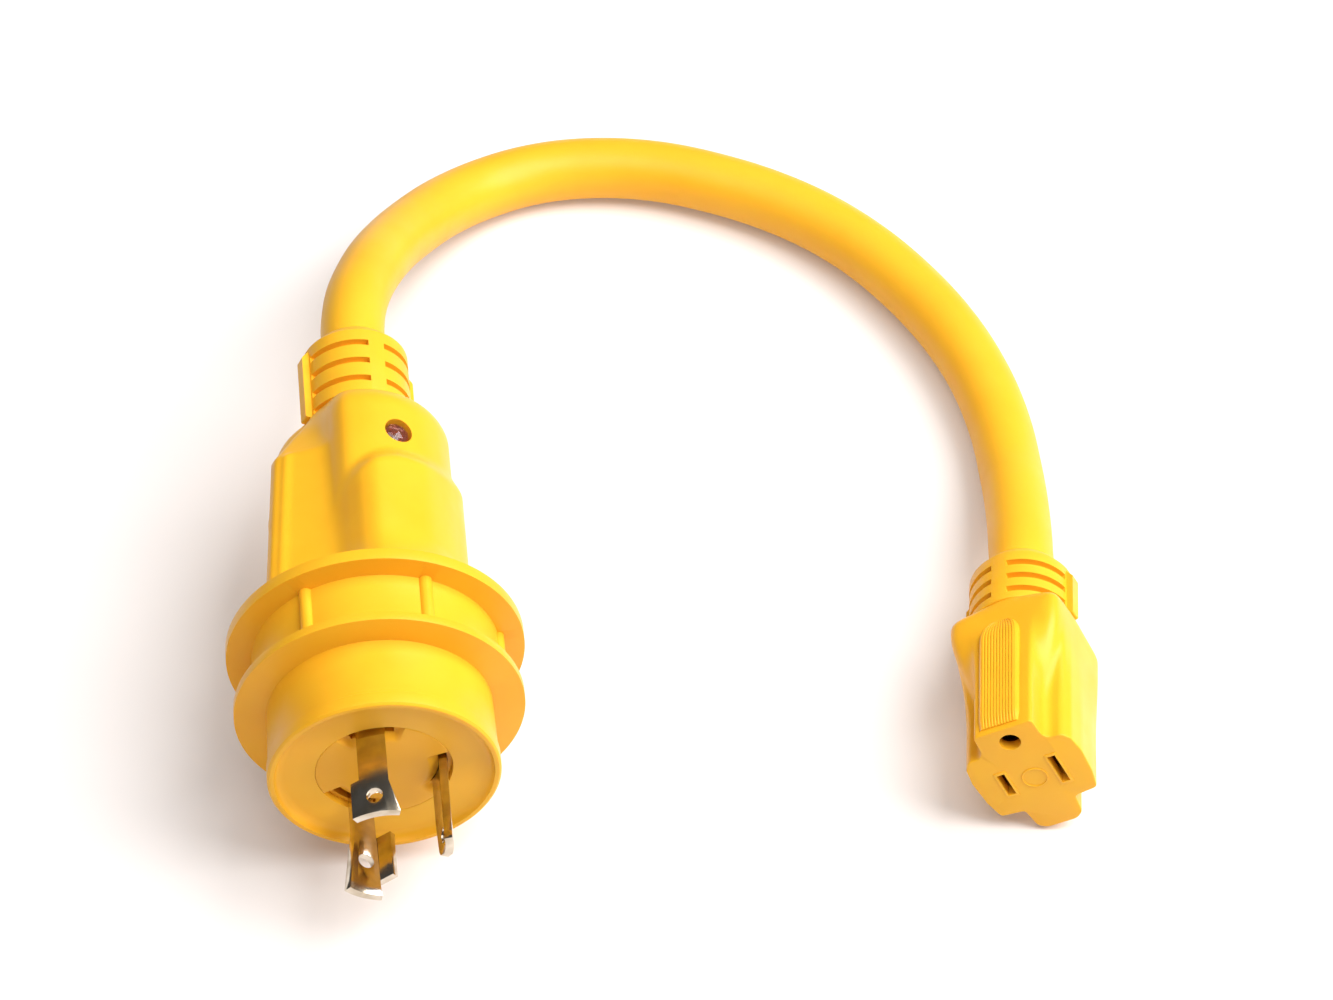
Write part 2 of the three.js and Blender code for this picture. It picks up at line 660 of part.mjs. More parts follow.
const connectorRelief = reliefSleeve("connector_strain_relief", CONNECTOR_RELIEF, 0);
connectorRelief.position.z = CABLE_RISE;
const connector = placed(CONNECTOR_FACE, CONNECTOR_TURN, [
  connectorBody(),
  contactCarrier(),
  slotContact("hot_contact", -SLOT_REACH, CONTACT.hotHeight),
  slotContact("neutral_contact", SLOT_REACH, CONTACT.neutralHeight),
  groundContact(),
  connectorRelief,
]);

// ------------------------------------------------------------------------ the cord
function disc(radius, sides) {
  const points = [];
  for (let i = 0; i < sides; i++) {
    const angle = ((i + 0.5) / sides) * 2 * Math.PI;
    points.push(new THREE.Vector2(radius * Math.cos(angle), radius * Math.sin(angle)));
  }
  return new THREE.Shape(points);
}

function tubeSection(radius, bore, sides) {
  const shape = disc(radius, sides);
  shape.holes.push(new THREE.Path(disc(bore, sides).getPoints().reverse()));
  return shape;
}

function alongPath(shape, path, steps) {
  return new THREE.ExtrudeGeometry(shape, { steps, extrudePath: path, bevelEnabled: false });
}

const plugPoint = (station) => plug.localToWorld(new THREE.Vector3(0, station, 0));
const connectorPoint = (station) =>
  connector.localToWorld(new THREE.Vector3(0, station, CABLE_RISE));

// The cable's axis, from inside the plug, along the route, to inside the connector.
const PLUG_AXIS_STATIONS = [28, 44, 60, 76, 92, 108, 118];
const CONNECTOR_AXIS_STATIONS = [56, 49, 42, 35, 29, 23];
const cableAxis = new THREE.CatmullRomCurve3([
  ...PLUG_AXIS_STATIONS.map(plugPoint),
  ...CORD_ROUTE.map((point) => new THREE.Vector3(...point)),
  ...CONNECTOR_AXIS_STATIONS.map(connectorPoint),
]);
cableAxis.arcLengthDivisions = 800;
const axisLength = cableAxis.getLength();
const atPlug = (station) => (station - PLUG_AXIS_STATIONS[0]) / axisLength;
const atConnector = (station) =>
  1 - (station - CONNECTOR_AXIS_STATIONS.at(-1)) / axisLength;

// Even steps from each of a row of places on the cable's axis to the next.
function stops(places, counts) {
  const made = [places[0]];
  counts.forEach((count, i) => {
    for (let k = 1; k <= count; k++) made.push(mix(places[i], places[i + 1], k / count));
  });
  return made;
}

// A curve beside the cable's axis: offset(u) gives its reach and its angle there.
// It is stepped at its own stops, not by arc length.
class Beside extends THREE.Curve {
  constructor(stopsAlong, offset) {
    super();
    this.stops = stopsAlong;
    this.offset = offset;
  }

  getPointAt(t) {
    return this.getPoint(t);
  }

  getTangentAt(t) {
    return this.getTangent(t);
  }

  getPoint(t) {
    const last = this.stops.length - 1;
    const before = Math.min(Math.floor(t * last + 1e-9), last - 1);
    const u = mix(this.stops[before], this.stops[before + 1], t * last - before);
    const along = cableAxis.getTangentAt(u);
    const across = new THREE.Vector3(0, 0, 1).cross(along).normalize();
    const up = along.clone().cross(across);
    const [reach, angle] = this.offset(u);
    return cableAxis
      .getPointAt(u)
      .addScaledVector(across, reach * Math.cos(angle))
      .addScaledVector(up, reach * Math.sin(angle));
  }
}

// Where each conductor starts on its barrel in the plug and ends in the connector,
// as a reach from the cable's axis and an angle from the across direction.
const lay = (kind) => {
  const contact = {
    hot: [-SLOT_REACH, -CABLE_RISE],
    neutral: [SLOT_REACH, -CABLE_RISE],
    ground: [0, GROUND_SOCKET.rise - CABLE_RISE],
  }[kind];
  const plugAngle = Math.PI - BLADES[kind].angle;
  const bare = Math.atan2(contact[1], contact[0]) - CONNECTOR_TURN.roll;
  const turns = Math.ceil((plugAngle - bare) / (2 * Math.PI));
  return {
    plugAngle,
    connectorReach: Math.hypot(...contact),
    connectorAngle: bare + turns * 2 * Math.PI,
  };
};

const CORE_START = atPlug(JACKET_PLUG_STATION);
const CORE_END = atConnector(JACKET_CONNECTOR_STATION);
const SPREAD_START = atPlug(SPREAD_PLUG_STATION);
const SPREAD_END = atConnector(SPREAD_CONNECTOR_STATION);

function besideAxis(kind) {
  const { plugAngle, connectorReach, connectorAngle } = lay(kind);
  return (u) => {
    let reach = LAY_RADIUS;
    if (u < CORE_START) {
      reach = mix(PLUG_BARREL_REACH, LAY_RADIUS,
        smooth((u - SPREAD_START) / (CORE_START - SPREAD_START)));
    }
    if (u > CORE_END) {
      reach = mix(LAY_RADIUS, connectorReach,
        smooth((u - CORE_END) / (SPREAD_END - CORE_END)));
    }
    const turn = smooth((u - CORE_START) / (CORE_END - CORE_START));
    return [reach, mix(plugAngle, connectorAngle, turn)];
  };
}

function cordPieces() {
  const coreStops = stops([CORE_START, CORE_END], [CORD_STEPS]);
  const jacketSection = tubeSection(CORD_RADIUS, JACKET_BORE, JACKET_SIDES);
  const jacket = sweep(jacketSection, coreStops, () => [0, 0]);
  const pieces = [piece("cord_jacket", jacket, JACKET_YELLOW)];
  Object.keys(BLADES).forEach((kind, index) => {
    const offset = besideAxis(kind);
    const beside = (u) => [FILLER.lay, offset(u)[1] + 60 * DEG];
    const insulationStops = stops(
      [atPlug(INSULATION_PLUG_STATION), CORE_START, CORE_END,
        atConnector(INSULATION_CONNECTOR_STATION)],
      [PLUG_SPREAD_STEPS, CORD_STEPS, CONNECTOR_SPREAD_STEPS],
    );
    const strandsStops = [
      atPlug(STRANDS_PLUG_STATION),
      ...insulationStops,
      atConnector(STRANDS_CONNECTOR_STATION),
    ];
    const insulation = tubeSection(CONDUCTOR_RADIUS, INSULATION_BORE, WIRE_SIDES);
    const strands = disc(STRANDS_RADIUS, STRANDS_SIDES);
    const filler = disc(FILLER.radius, STRANDS_SIDES);
    pieces.push(
      piece(`${kind}_insulation`, sweep(insulation, insulationStops, offset), INSULATION[kind]),
      piece(`${kind}_strands`, sweep(strands, strandsStops, offset), COPPER),
      piece(`cord_filler_${index + 1}`, sweep(filler, coreStops, beside), FILLER_PAPER),
    );
  });
  return pieces;
}

// A section drawn along a curve beside the cable's axis, one step for each stop.
function sweep(section, stopsAlong, offset) {
  return solid(alongPath(section, new Beside(stopsAlong, offset), stopsAlong.length - 1));
}

const adapterCord = new THREE.Group();
adapterCord.add(plug, connector, ...cordPieces());

export default adapterCord;
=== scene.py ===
"""A short yellow adapter cord for a caravan or boat inlet, with its studio.

One end is a 30 A locking plug with three curved blades and a power lamp, the other a
15 A connector with two slots and a round ground socket.  Each end is modelled in
millimetres on its own axis, where y is the distance behind its front face, and is
then carried to its place in the frame, in metres.
"""

import logging
import math
from collections.abc import Callable, Iterable, Sequence
from dataclasses import dataclass, field
from enum import Enum

import bmesh
import bpy
from mathutils import Matrix, Vector


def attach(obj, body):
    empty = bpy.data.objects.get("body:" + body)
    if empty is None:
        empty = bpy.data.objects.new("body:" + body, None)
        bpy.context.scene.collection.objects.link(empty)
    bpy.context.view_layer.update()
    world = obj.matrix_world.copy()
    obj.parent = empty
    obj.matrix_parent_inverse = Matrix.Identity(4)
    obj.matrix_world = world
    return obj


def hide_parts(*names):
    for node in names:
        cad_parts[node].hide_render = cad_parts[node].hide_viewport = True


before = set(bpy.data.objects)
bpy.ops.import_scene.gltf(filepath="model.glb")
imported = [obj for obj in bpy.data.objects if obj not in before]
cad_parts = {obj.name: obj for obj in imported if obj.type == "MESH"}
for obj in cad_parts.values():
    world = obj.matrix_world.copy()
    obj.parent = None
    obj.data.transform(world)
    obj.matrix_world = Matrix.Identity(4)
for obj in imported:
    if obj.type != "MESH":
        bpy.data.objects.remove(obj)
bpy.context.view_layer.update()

log = logging.getLogger("adapter_cord")

MM = 0.001
DEG = math.pi / 180
ROOT = "root"
SHARP = 38 * DEG  # edges that turn further than this are drawn sharp

Profile = list[tuple[float, float]]
Rule = Callable[[Vector], Vector]


# ------------------------------------------------------------------------ placing
@dataclass(frozen=True)
class EndPlace:
    """Where one end of the cord lies, and how it is turned.

    Args:
        face: Middle of the front face, in millimetres.
        yaw: Turn about the upright, in degrees.
        pitch: Nose down is positive, in degrees.
        roll: Turn about the end's own axis, in degrees.
    """

    face: tuple[float, float, float]
    yaw: float
    pitch: float
    roll: float

    def matrix(self) -> Matrix:
        """Carries the end's own millimetres to the frame's metres.

        Returns:
            The scale, the turn and the shift as one matrix.
        """
        turn = (
            Matrix.Rotation(self.yaw * DEG, 4, "Z")
            @ Matrix.Rotation(self.pitch * DEG, 4, "X")
            @ Matrix.Rotation(self.roll * DEG, 4, "Y")
        )
        return Matrix.Translation(Vector(self.face) * MM) @ turn @ Matrix.Scale(MM, 4)


PLUG_PLACE = EndPlace((-60.9, -50.33, 30.95), 5.04, 3.86, 0)
CONNECTOR_PLACE = EndPlace((81.8, -37.73, 16.7), -2.41, -2.5, -26.85)
CABLE_RISE = 4.2  # the cable leaves the connector this far above the line of its slots
CABLE_ASIDE = -0.6  # and this far to one side of its middle

# The cord's centre line between its two sleeves, in metres: down from the plug,
# along the table in a U, and up into the connector.
CORD_ROUTE = [
    (-0.0718, 0.07297, 0.0393),
    (-0.0723, 0.08057, 0.0396),
    (-0.0719, 0.09107, 0.0381),
    (-0.0699, 0.10457, 0.0336),
    (-0.0665, 0.12007, 0.0266),
    (-0.0615, 0.13557, 0.0189),
    (-0.0539, 0.15057, 0.0123),
    (-0.0448, 0.16067, 0.0087),
    (-0.0348, 0.16647, 0.0076),
    (-0.0243, 0.16917, 0.0075),
    (-0.0118, 0.16977, 0.0075),
    (0.0007, 0.16807, 0.0075),
    (0.0132, 0.16407, 0.0075),
    (0.0257, 0.15837, 0.0075),
    (0.0382, 0.15027, 0.0075),
    (0.0492, 0.14027, 0.0075),
    (0.0587, 0.12857, 0.0075),
    (0.0667, 0.11607, 0.0075),
    (0.0727, 0.10357, 0.0075),
    (0.0770, 0.09107, 0.0075),
    (0.0799, 0.07807, 0.0076),
    (0.0815, 0.06457, 0.0092),
    (0.0824, 0.05107, 0.0127),
    (0.0827, 0.03807, 0.0157),
    (0.0826, 0.03057, 0.0171),
    (0.0825, 0.02387, 0.0177),
]


# ---------------------------------------------------------------------- materials
def linear(code: str) -> tuple[float, float, float, float]:
    """Turns an sRGB hex colour to the linear values that a shader takes.

    Args:
        code: The colour, such as "#f2c52f".

    Returns:
        Linear red, green, blue and an alpha of one.
    """
    parts = [int(code[i : i + 2], 16) / 255 for i in (1, 3, 5)]
    red, green, blue = (
        part / 12.92 if part <= 0.04045 else ((part + 0.055) / 1.055) ** 2.4
        for part in parts
    )
    return (red, green, blue, 1.0)


class Surface:
    """A new material, its shader and the few kinds of node that the finishes use."""

    def __init__(self, name: str) -> None:
        """Starts the material.

        Args:
            name: The material's name.
        """
        self.material = bpy.data.materials.new(name)
        self.material.use_nodes = True
        self.tree = self.material.node_tree
        self.shader = self.tree.nodes["Principled BSDF"]
        self.place = self.node("ShaderNodeTexCoord").outputs["Object"]

    def fill(self, socket: bpy.types.NodeSocket, value: object) -> None:
        """Links an input to an output socket, or sets its value.

        Args:
            socket: The input.
            value: An output socket, or a plain value.
        """
        if isinstance(value, bpy.types.NodeSocket):
            self.tree.links.new(value, socket)
        else:
            socket.default_value = value

    def node(self, kind: str, **inputs: object) -> bpy.types.Node:
        """Adds a node.

        Args:
            kind: The node's type name, such as "ShaderNodeTexNoise".
            inputs: What each input takes, by its name with spaces as underscores.

        Returns:
            The new node.
        """
        made = self.tree.nodes.new(kind)
        for name, value in inputs.items():
            self.fill(made.inputs[name.replace("_", " ")], value)
        return made

    def noise(
        self,
        cell: float,
        detail: float = 2.0,
        roughness: float = 0.5,
        vector: bpy.types.NodeSocket | None = None,
    ) -> bpy.types.NodeSocket:
        """Noise over the object's own place.

        Args:
            cell: Size of its cells, in millimetres.
            detail: How many finer layers it has.
            roughness: How strong the finer layers are.
            vector: The place to read, where it isn't the plain one.

        Returns:
            The noise, from nought to one.
        """
        return self.node(
            "ShaderNodeTexNoise", Vector=self.place if vector is None else vector,
            Scale=1 / (cell * MM), Detail=detail, Roughness=roughness,
        ).outputs["Fac"]

    def mapped(
        self, value: bpy.types.NodeSocket, span: tuple[float, float], result: tuple[float, float]
    ) -> bpy.types.NodeSocket:
        """A value carried from one span to another."""
        return self.node(
            "ShaderNodeMapRange", Value=value, From_Min=span[0], From_Max=span[1],
            To_Min=result[0], To_Max=result[1],
        ).outputs["Result"]

    def tone(
        self,
        value: bpy.types.NodeSocket,
        low: str,
        high: str,
        span: tuple[float, float] = (0.0, 1.0),
    ) -> bpy.types.NodeSocket:
        """A colour between two, chosen by a value.

        Args:
            value: The value.
            low: The colour, as a hex code, at the span's start.
            high: The colour at its end.
            span: Where the blend starts and ends.

        Returns:
            The colour.
        """
        ramp = self.node("ShaderNodeValToRGB", Fac=value)
        for element, place, code in zip(list(ramp.color_ramp.elements), span, (low, high)):
            element.position = place
            element.color = linear(code)
        return ramp.outputs["Color"]

    def times_plus(
        self, first: bpy.types.NodeSocket, times: float, second: bpy.types.NodeSocket
    ) -> bpy.types.NodeSocket:
        """The first value times a number, plus the second."""
        made = self.node("ShaderNodeMath")
        made.operation = "MULTIPLY_ADD"
        for socket, value in zip(made.inputs, (first, times, second)):
            self.fill(socket, value)
        return made.outputs["Value"]

    def bump(
        self, height: bpy.types.NodeSocket, strength: float, depth: float
    ) -> bpy.types.NodeSocket:
        """A normal raised by a height, with its depth in millimetres."""
        return self.node(
            "ShaderNodeBump", Height=height, Strength=strength, Distance=depth * MM
        ).outputs["Normal"]

    def finished(self, **inputs: object) -> bpy.types.Material:
        """Fills the shader's inputs.

        Args:
            inputs: What each input takes, by its name with spaces as underscores.

        Returns:
            The finished material.
        """
        for name, value in inputs.items():
            self.fill(self.shader.inputs[name.replace("_", " ")], value)
        return self.material


class Mottle(Enum):
    """How a plastic's colour wanders, as the noise cells' size in millimetres."""

    MOULDED = 14.0
    EXTRUDED = 22.0


@dataclass(frozen=True)
class FlexiblePvc:
    """Plasticised PVC, moulded or extruded: a dense colour under a satin skin.

    Light goes a little way in, so thin edges glow warm, and the skin carries the
    fine spark-eroded grain of the mould and a few softer flow marks.
    """

    name: str
    colour: str
    deep: str
    roughness: float
    mottle: Mottle
    grain: float = 0.5
    grain_depth: float = 0.012
    flow: float = 6.0
    flow_share: float = 4.0
    worn: float = 9.0
    sheen: float = 0.25

    def make(self) -> bpy.types.Material:
        """Builds the material.

        Returns:
            The finished material.
        """
        surface = Surface(self.name)
        mottle = surface.noise(self.mottle.value, 3.0, 0.55)
        # Handling leaves the skin glossier in some places than in others.
        gloss = (self.roughness - 0.05, self.roughness + 0.06)
        flow, grain = surface.noise(self.flow, 1.0), surface.noise(self.grain)
        height = surface.times_plus(flow, self.flow_share, grain)
        return surface.finished(
            Base_Color=surface.tone(mottle, self.deep, self.colour, (0.25, 0.6)),
            Roughness=surface.mapped(surface.noise(self.worn, 4.0), (0.3, 0.7), gloss),
            Normal=surface.bump(height, 0.35, self.grain_depth),
            IOR=1.53,
            Subsurface_Weight=0.12,
            Subsurface_Radius=(1.0, 0.45, 0.1),
            Subsurface_Scale=2.0 * MM,
            Specular_IOR_Level=self.sheen,
        )


@dataclass(frozen=True)
class PlatedMetal:
    """Rolled strip or wire: bright, with fine rolling lines and duller patches."""

    name: str
    colour: str
    shade: str
    roughness: float
    line: float = 0.35
    patch: float = 4.0

    def make(self) -> bpy.types.Material:
        """Builds the material.

        Returns:
            The finished material.
        """
        surface = Surface(self.name)
        drawn = surface.node("ShaderNodeMapping", Vector=surface.place, Scale=(1.0, 0.06, 1.0))
        lines = surface.noise(self.line, 3.0, vector=drawn.outputs["Vector"])
        patches = surface.noise(self.patch)
        gloss = (self.roughness + 0.06, self.roughness)
        return surface.finished(
            Base_Color=surface.tone(patches, self.shade, self.colour, (0.3, 0.7)),
            Roughness=surface.mapped(patches, (0.35, 0.6), gloss),
            Normal=surface.bump(lines, 0.12, 0.002),
            Metallic=1.0,
        )


@dataclass(frozen=True)
class ClearPlastic:
    """Moulded acrylic or glass: clear, with a slight tint and a polished skin."""

    name: str
    colour: str
    roughness: float
    clear: float
    haze: float = 1.2

    def make(self) -> bpy.types.Material:
        """Builds the material.

        Returns:
            The finished material.
        """
        surface = Surface(self.name)
        gloss = (self.roughness, self.roughness + 0.05)
        return surface.finished(
            Base_Color=linear(self.colour),
            Roughness=surface.mapped(surface.noise(self.haze), (0.3, 0.7), gloss),
            Transmission_Weight=self.clear,
            IOR=1.49,
        )


@dataclass(frozen=True)
class PlainSkin:
    """Small inner goods, such as insulation, fillers and coats: matt, a little uneven."""

    name: str
    colour: str
    shade: str
    roughness: float
    grain: float = 0.6

    def make(self) -> bpy.types.Material:
        """Builds the material.

        Returns:
            The finished material.
        """
        surface = Surface(self.name)
        grain = surface.noise(self.grain, 3.0)
        return surface.finished(
            Base_Color=surface.tone(grain, self.shade, self.colour),
            Roughness=self.roughness,
            Normal=surface.bump(grain, 0.3, 0.02),
        )


YELLOW_MOULDED = FlexiblePvc("yellow_moulded_pvc", "#efb126", "#edab22", 0.36, Mottle.MOULDED)
YELLOW_SLEEVE = FlexiblePvc("yellow_sleeve_pvc", "#f0b328", "#eead24", 0.42, Mottle.MOULDED)
YELLOW_CORE = FlexiblePvc("yellow_core_pvc", "#ecaa22", "#e8a41f", 0.4, Mottle.MOULDED)
YELLOW_JACKET = FlexiblePvc(
    "yellow_extruded_pvc", "#efb228", "#ecab24", 0.44, Mottle.EXTRUDED, grain=0.35,
    grain_depth=0.02,
)
NICKEL_PLATE = PlatedMetal("nickel_plated_brass", "#d9cfc0", "#b5a893", 0.14)
SPRING_BRASS = PlatedMetal("rolled_spring_brass", "#c9a24a", "#a27f38", 0.28)
BUNCHED_COPPER = PlatedMetal("bunched_copper", "#c27a3e", "#96582a", 0.3, line=0.4)
TINNED_WIRE = PlatedMetal("tinned_wire", "#c4c4c4", "#98989a", 0.3)
CLEAR_ACRYLIC = ClearPlastic("clear_acrylic", "#e2a99a", 0.03, 0.95)
RED_LAMP = ClearPlastic("red_lamp_glass", "#d8492a", 0.08, 0.35)
BLACK_PVC = PlainSkin("black_insulation_pvc", "#242424", "#1b1b1b", 0.45)
WHITE_PVC = PlainSkin("white_insulation_pvc", "#e8e6e0", "#dcd9d0", 0.45)
GREEN_PVC = PlainSkin("green_insulation_pvc", "#2f7a3d", "#27682f", 0.45)
KRAFT = PlainSkin("twisted_kraft", "#d9cfb8", "#b7a684", 0.9, grain=1.0)
DIPPED_COAT = PlainSkin("dipped_ceramic_coat", "#d8c7a0", "#c2ae83", 0.5)

Finish = FlexiblePvc | PlatedMetal | ClearPlastic | PlainSkin

HIDDEN_FINISHES: dict[str, Finish] = {
    "contact_carrier": YELLOW_CORE,
    "hot_contact": SPRING_BRASS,
    "neutral_contact": SPRING_BRASS,
    "ground_contact": SPRING_BRASS,
    "indicator_lamp": RED_LAMP,
    "lamp_resistor": DIPPED_COAT,
    "lamp_lead_hot": TINNED_WIRE,
    "lamp_lead_middle": TINNED_WIRE,
    "lamp_lead_neutral": TINNED_WIRE,
    "hot_insulation": BLACK_PVC,
    "neutral_insulation": WHITE_PVC,
    "ground_insulation": GREEN_PVC,
    "hot_strands": BUNCHED_COPPER,
    "neutral_strands": BUNCHED_COPPER,
    "ground_strands": BUNCHED_COPPER,
    "cord_filler_1": KRAFT,
    "cord_filler_2": KRAFT,
    "cord_filler_3": KRAFT,
}

_made_finishes: dict[str, bpy.types.Material] = {}


def finish_of(finish: Finish) -> bpy.types.Material:
    """The finish's material, made once.

    Args:
        finish: The finish wanted.

    Returns:
        Its material.
    """
    if finish.name not in _made_finishes:
        _made_finishes[finish.name] = finish.make()
    return _made_finishes[finish.name]


# ---------------------------------------------------------------- mesh operations
def rounded(
    points: Sequence[tuple[float, float]], radius: float, closed: bool
) -> bmesh.types.BMesh:
    """An outline in the x-y plane whose marked corners are rounded.

    Args:
        points: Corner points as (x, y), in order.
        radius: Rounding of every corner that turns sharply, in millimetres.
        closed: Whether the last point joins the first.

    Returns:
        A bmesh that holds the outline as a wire.
    """
    made = bmesh.new()
    corners = [made.verts.new((x, y, 0)) for x, y in points]
    for a, b in zip(corners, corners[1:]):
        made.edges.new((a, b))
    if closed:
        made.edges.new((corners[-1], corners[0]))
    turning = [v for v in corners if len(v.link_edges) == 2 and corner_turn(v) > SHARP]
    if radius > 0:
        bmesh.ops.bevel(
            made, geom=turning, offset=radius, offset_type="OFFSET", segments=3,
            profile=0.5, affect="VERTICES", material=-1, clamp_overlap=True,
        )
    return made


def corner_turn(vertex: bmesh.types.BMVert) -> float:
    """How far a wire turns at a vertex, in radians."""
    first, second = (edge.other_vert(vertex).co - vertex.co for edge in vertex.link_edges)
    return math.pi - first.angle(second)


def turned(profile: Profile, radius: float, steps: int) -> bmesh.types.BMesh:
    """A closed ring profile spun about the y axis.

    Args:
        profile: Points as (radius, station), closed on itself, in millimetres.
        radius: Rounding of the profile's sharp corners.
        steps: How many steps go round.

    Returns:
        The closed solid.
    """
    made = rounded(profile, radius, True)
    bmesh.ops.spin(
        made, geom=made.verts[:] + made.edges[:], cent=(0, 0, 0), axis=(0, 1, 0),
        dvec=(0, 0, 0), angle=2 * math.pi, steps=steps, use_merge=True,
    )
    bmesh.ops.remove_doubles(made, verts=made.verts, dist=1e-4)
    bmesh.ops.recalc_face_normals(made, faces=made.faces)
    return made


def rod(radius: float, start: float, end: float, steps: int = 48) -> bmesh.types.BMesh:
    """A plain round cutter along y.

    Args:
        radius: Its radius.
        start: Station of its front.
        end: Station of its back.
        steps: How many sides it has.

    Returns:
        The closed solid.
    """
    made = bmesh.new()
    bmesh.ops.create_cone(
        made, cap_ends=True, segments=steps, radius1=radius, radius2=radius, depth=end - start,
        matrix=Matrix.Rotation(-math.pi / 2, 4, "X"),
    )
    return moved(made, Matrix.Translation((0, (start + end) / 2, 0)))


def box(low: Iterable[float], high: Iterable[float]) -> bmesh.types.BMesh:
    """A plain box between two corners.

    Args:
        low: Its lowest corner.
        high: Its highest corner.

    Returns:
        The closed solid.
    """
    made = bmesh.new()
    lo, hi = Vector(low), Vector(high)
    bmesh.ops.create_cube(
        made, size=1, matrix=Matrix.Translation((lo + hi) / 2) @ Matrix.Diagonal((*(hi - lo), 1))
    )
    return made


def drawn_out(
    outline: bmesh.types.BMesh, start: float, end: float, steps: int = 1
) -> bmesh.types.BMesh:
    """A closed wire in the x-z plane filled and drawn out along y.

    Args:
        outline: The wire, in the x-y plane as rounded makes it; it is used up.
        start: Station of the front face.
        end: Station of the back face.
        steps: How many steps the length has.

    Returns:
        The closed solid.
    """
    made = outline
    bmesh.ops.rotate(
        made, verts=made.verts, cent=(0, 0, 0), matrix=Matrix.Rotation(math.pi / 2, 3, "X")
    )
    bmesh.ops.translate(made, verts=made.verts, vec=(0, start, 0))
    front = made.edges[:]
    cap = bmesh.ops.contextual_create(made, geom=front)["faces"]
    for _ in range(steps):
        grown = bmesh.ops.extrude_edge_only(made, edges=front)["geom"]
        corners = [item for item in grown if isinstance(item, bmesh.types.BMVert)]
        front = [
            item for item in grown
            if isinstance(item, bmesh.types.BMEdge) and all(v in corners for v in item.verts)
        ]
        bmesh.ops.translate(made, verts=corners, vec=(0, (end - start) / steps, 0))
    bmesh.ops.contextual_create(made, geom=front)
    if not cap:
        raise ValueError("the outline could not be filled")
    bmesh.ops.recalc_face_normals(made, faces=made.faces)
    return made


def sector(
    inner: float,
    outer: float,
    start: float,
    end: float,
    stations: Sequence[float],
    steps: int = 24,
) -> bmesh.types.BMesh:
    """A curved bar: part of a ring between two angles, along y.

    Args:
        inner: Inner radius.
        outer: Outer radius.
        start: First angle in degrees, from +x towards +z.
        end: Last angle in degrees.
        stations: The rows along the bar, from its front to its back.
        steps: How many steps the arc has.

    Returns:
        The closed solid.
    """
    last = len(stations) - 1
    made = bmesh.new()
    bmesh.ops.create_grid(made, x_segments=1, y_segments=last, size=0.5)
    for vertex in made.verts:
        vertex.co.x = inner if vertex.co.x < 0 else outer
        vertex.co.y = stations[round((vertex.co.y + 0.5) * last)]
    clocked(made, start)
    bmesh.ops.spin(
        made, geom=made.verts[:] + made.edges[:] + made.faces[:], cent=(0, 0, 0),
        axis=(0, 1, 0), angle=-(end - start) * DEG, steps=steps,
    )
    bmesh.ops.remove_doubles(made, verts=made.verts, dist=1e-4)
    bmesh.ops.recalc_face_normals(made, faces=made.faces)
    return made


def moved(shape: bmesh.types.BMesh, matrix: Matrix) -> bmesh.types.BMesh:
    """The same shape, carried by a matrix."""
    bmesh.ops.transform(shape, matrix=matrix, verts=shape.verts)
    return shape


def clocked(shape: bmesh.types.BMesh, angle: float) -> bmesh.types.BMesh:
    """The same shape turned about y by an angle in degrees, from +x towards +z."""
    return moved(shape, Matrix.Rotation(-angle * DEG, 4, "Y"))


def clocked_point(point: Iterable[float], angle: float) -> Vector:
    """A point turned about y by an angle in degrees, from +x towards +z."""
    return Matrix.Rotation(-angle * DEG, 4, "Y") @ Vector(point)


def reshaped(shape: bmesh.types.BMesh, rule: Rule) -> bmesh.types.BMesh:
    """The same shape with each vertex moved by a rule of its place."""
    for vertex in shape.verts:
        vertex.co = rule(vertex.co.copy())
    return shape


def gathered(shapes: Sequence[bmesh.types.BMesh]) -> bmesh.types.BMesh:
    """Several shapes in one bmesh; the first is grown and the others are used up."""
    first, *others = shapes
    for other in others:
        mesh = bpy.data.meshes.new("gathered")
        other.to_mesh(mesh)
        first.from_mesh(mesh)
        bpy.data.meshes.remove(mesh)
        other.free()
    return first


class Join(Enum):
    """What a boolean does with its second shape."""

    ADD = "UNION"
    CUT = "DIFFERENCE"


def combined(
    shape: bmesh.types.BMesh, other: bmesh.types.BMesh, how: Join
) -> bmesh.types.BMesh:
    """Joins or cuts one closed shape with another.

    Args:
        shape: The shape that is kept; it is used up.
        other: The shape added or cut away; it is used up.
        how: Whether to add or to cut.

    Returns:
        The result as a new bmesh.
    """
    objects = []
    for source in (shape, other):
        mesh = bpy.data.meshes.new("boolean")
        source.to_mesh(mesh)
        source.free()
        objects.append(bpy.data.objects.new("boolean", mesh))
        bpy.context.collection.objects.link(objects[-1])
    modifier = objects[0].modifiers.new("boolean", "BOOLEAN")
    modifier.object = objects[1]
    modifier.operation = how.value
    modifier.solver = "MANIFOLD"
    graph = bpy.context.evaluated_depsgraph_get()
    made = bmesh.new()
    made.from_mesh(objects[0].evaluated_get(graph).to_mesh())
    for item in objects:
        mesh = item.data
        bpy.data.objects.remove(item)
        bpy.data.meshes.remove(mesh)
    bmesh.ops.remove_doubles(made, verts=made.verts, dist=1e-4)
    return made


def softened(shape: bmesh.types.BMesh, width: float, turn: float = SHARP) -> bmesh.types.BMesh:
    """The same shape with a small round on each sharp edge.

    Args:
        shape: The shape.
        width: Width of the round, in millimetres.
        turn: Edges that turn further than this are rounded.

    Returns:
        The same bmesh.
    """
    sharp = [e for e in shape.edges if len(e.link_faces) == 2 and e.calc_face_angle(0) > turn]
    bmesh.ops.bevel(
        shape, geom=sharp, offset=width, offset_type="OFFSET", segments=2, profile=0.5,
        affect="EDGES", material=-1, clamp_overlap=True,
    )
    return shape


